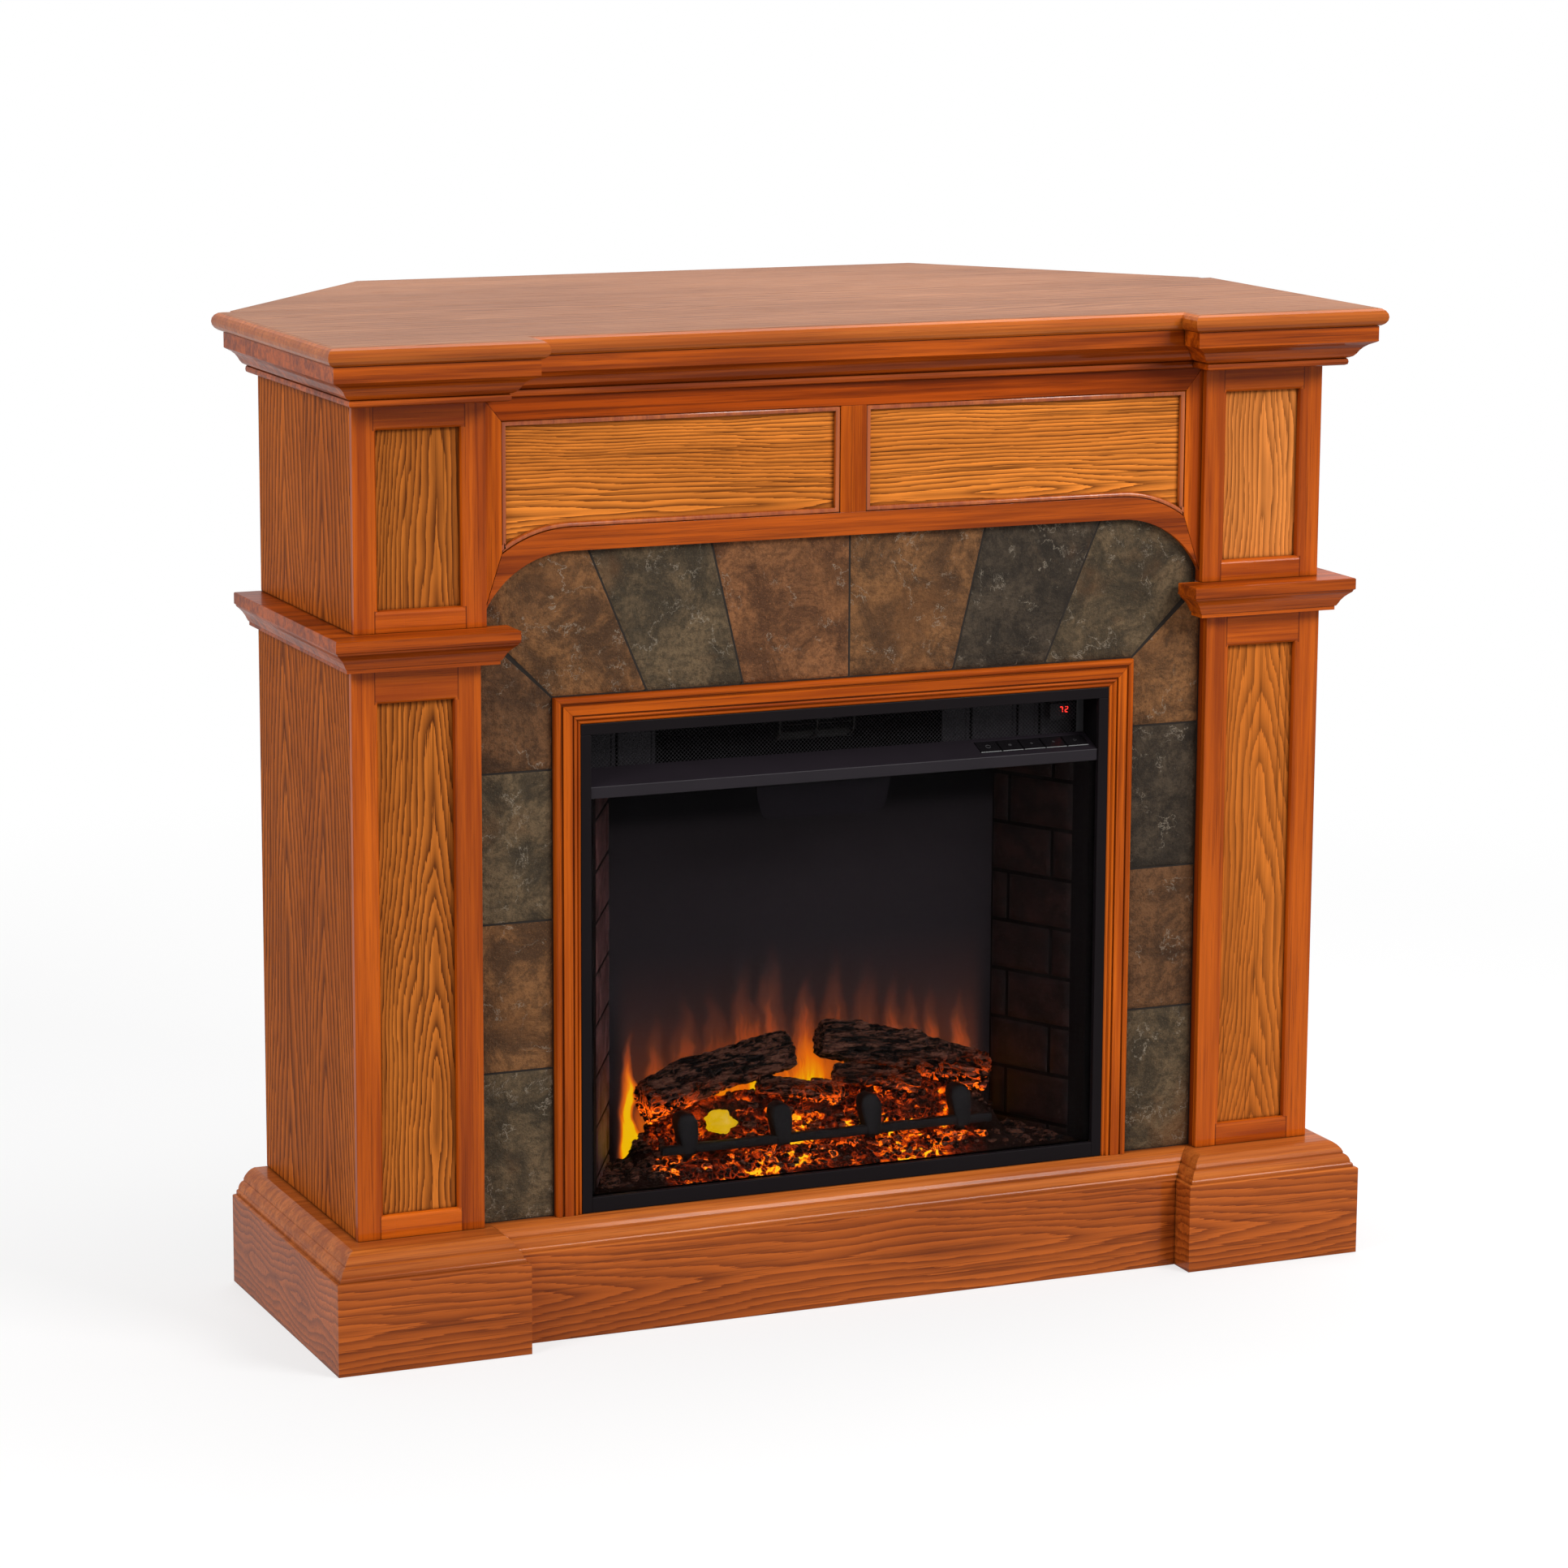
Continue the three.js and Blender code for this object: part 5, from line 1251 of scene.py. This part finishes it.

# A dark plate that hangs from the ledge behind the glass, put there as painted shade.
tab_outline = [(-99, 551.4), (-97, 536), (-93, 521), (-90, 516.5), (-85, 514), (-79, 513), (33, 513),
               (39, 514), (44, 517), (46.5, 522), (50, 536), (52, 551.4)]
TAB_FRONT, TAB_BACK = at(0, 74.5, 0).y, at(0, 76, 0).y
tab = plate("painted_shade_plate", [(x / 1000, z / 1000) for x, z in reversed(tab_outline)], TAB_FRONT, TAB_BACK)
apply_modifier(tab, "BEVEL", width=0.0004, segments=2, limit_method="ANGLE", angle_limit=math.radians(60))
tab_coat = coated("painted_shade_plate_coat", (0.0105, 0.0080, 0.0100), 0.5, 700, specular=0.05)
finish_piece(tab, tab_coat)

# Marks on the keys, raised a hair over each: a ring, a dot, a square, a triangle and an open triangle.
KEY_NORMAL = Vector((0, -0.37623, 0.92653))
MARK_RADIUS = 0.0026
MARK_LINE = 0.00035
OPEN_MARKS = {1: (36, 1.0), 5: (3, 0.8)}
SOLID_MARKS = {2: 36, 3: 4, 4: 3}


def key_face(name):
    mesh = nodes[name].data
    tops = [face for face in mesh.polygons if face.normal.dot(KEY_NORMAL) > 0.98]
    area = sum(face.area for face in tops)
    return sum((Vector(face.center) * face.area for face in tops), Vector()) / area


for number in range(1, 6):
    deselect()
    if number in OPEN_MARKS:
        corners, share = OPEN_MARKS[number]
        bpy.ops.mesh.primitive_torus_add(major_radius=MARK_RADIUS * share, minor_radius=MARK_LINE,
                                         major_segments=corners, minor_segments=6)
    else:
        bpy.ops.mesh.primitive_cylinder_add(vertices=SOLID_MARKS[number], radius=MARK_RADIUS * 0.7,
                                            depth=0.0005)
    mark = settle(f"key_mark_{number}")
    tilt = KEY_NORMAL.to_track_quat("Z", "Y").to_matrix().to_4x4()
    mark.data.transform(Matrix.Translation(key_face(f"button_{number}")) @ tilt)
    finish_piece(mark, coated(f"key_print_{number}", (0.036, 0.034, 0.036), 0.5),
                 body=f"key_{number}")

# ------------------------------------------------------------------ camera
CAMERA_PLACE = at(-1995.3, -4411.9, 1508.1)
YAW, PITCH, ROLL = (math.radians(a) for a in (-23.249, -11.110, 0.2908))
FOCAL_PIXELS = 5992.2
PHOTO_PIXELS = 1932
SENSOR = 36.0

camera_data = bpy.data.cameras.new("camera")
camera_data.sensor_width = SENSOR
camera_data.lens = FOCAL_PIXELS / PHOTO_PIXELS * SENSOR
camera_data.clip_end = 200
camera = linked("camera", camera_data)
forward = Vector((-math.sin(YAW) * math.cos(PITCH), math.cos(YAW) * math.cos(PITCH), math.sin(PITCH)))
level_right = Vector((math.cos(YAW), math.sin(YAW), 0))
level_up = level_right.cross(forward)
right = math.cos(ROLL) * level_right + math.sin(ROLL) * level_up
up = -math.sin(ROLL) * level_right + math.cos(ROLL) * level_up
camera.matrix_world = Matrix.Translation(CAMERA_PLACE) @ Matrix((right, up, -forward)).transposed().to_4x4()
bpy.context.scene.camera = camera

# ------------------------------------------------------------------ studio
OPEN_FLOOR_GLOW = 0.68
SHADOW_REACH = (1.1, 2.6)
AMBIENT = 0.42
FLOOR_SEEN = (0.85, 0.85, 0.85)
FLOOR_BOUNCE = (0.36, 0.355, 0.35)


def background_rays(tree):
    """1 for the rays that meet the white background: from the camera, off a gloss and through glass."""
    rays = tree.nodes.new("ShaderNodeLightPath")
    seen = rays.outputs["Is Camera Ray"]
    for kind in ("Is Glossy Ray", "Is Transmission Ray"):
        either = tree.nodes.new("ShaderNodeMath")
        either.operation = "MAXIMUM"
        tree.links.new(seen, either.inputs[0])
        tree.links.new(rays.outputs[kind], either.inputs[1])
        seen = either.outputs[0]
    return seen


FLOOR_SIZE = 160
FLOOR_DROP = 0.0005
deselect()
bpy.ops.mesh.primitive_plane_add(size=FLOOR_SIZE, location=(0, 0, -FLOOR_DROP))
floor = bpy.context.object
floor.name = "floor"
paper = Finish("floor_paper")
seen = background_rays(paper.tree)
paper.set(colour=paper.mix(seen, FLOOR_BOUNCE, FLOOR_SEEN), roughness=0.9, specular=0.0)
from_part = paper.node("VectorMath", {0: paper.place}, operation="LENGTH").outputs["Value"]
open_floor = paper.step(from_part, *SHADOW_REACH)
whitened = paper.plus(OPEN_FLOOR_GLOW, paper.times(open_floor, 1 - OPEN_FLOOR_GLOW))
white_paper = paper.node("Emission", {"Color": (1, 1, 1, 1), "Strength": 1.0})
shares = {0: paper.times(seen, whitened), 1: paper.shader.outputs[0], 2: white_paper.outputs[0]}
surface = paper.tree.nodes["Material Output"].inputs["Surface"]
paper.feed(surface, paper.node("MixShader", shares).outputs[0])
floor.data.materials.append(paper.material)

world = bpy.data.worlds.new("studio")
bpy.context.scene.world = world
world.use_nodes = True
sky = world.node_tree
ambient = sky.nodes["Background"]
ambient.inputs["Color"].default_value = (1, 1, 1, 1)
ambient.inputs["Strength"].default_value = AMBIENT
white = sky.nodes.new("ShaderNodeBackground")
white.inputs["Color"].default_value = (1, 1, 1, 1)
white.inputs["Strength"].default_value = 1.0
choose = sky.nodes.new("ShaderNodeMixShader")
for socket, source in zip(choose.inputs, (background_rays(sky), ambient.outputs[0], white.outputs[0])):
    sky.links.new(source, socket)
sky.links.new(choose.outputs[0], sky.nodes["World Output"].inputs["Surface"])


def softbox(name, place, target, size, watts):
    data = bpy.data.lights.new(name, "AREA")
    data.shape = "RECTANGLE"
    data.size, data.size_y = size
    data.energy = watts
    obj = linked(name, data)
    obj.location = place
    obj.rotation_euler = (Vector(target) - Vector(place)).to_track_quat("-Z", "Y").to_euler()


softbox("key_light", (2.2, -3.4, 3.2), (0.1, 0, 0.5), (2.0, 1.5), 158)
softbox("fill_light", (-2.9, -1.4, 2.3), (-0.4, 0, 0.75), (1.2, 1.2), 41)
softbox("top_light", (0.6, 0.6, 3.0), (0, 0, 1.0), (2.6, 1.4), 60)
softbox("strip_light", (-3.1, -1.25, 1.15), (-0.4, -0.2, 0.8), (0.5, 1.1), 3)

bpy.context.scene.view_settings.view_transform = "Standard"
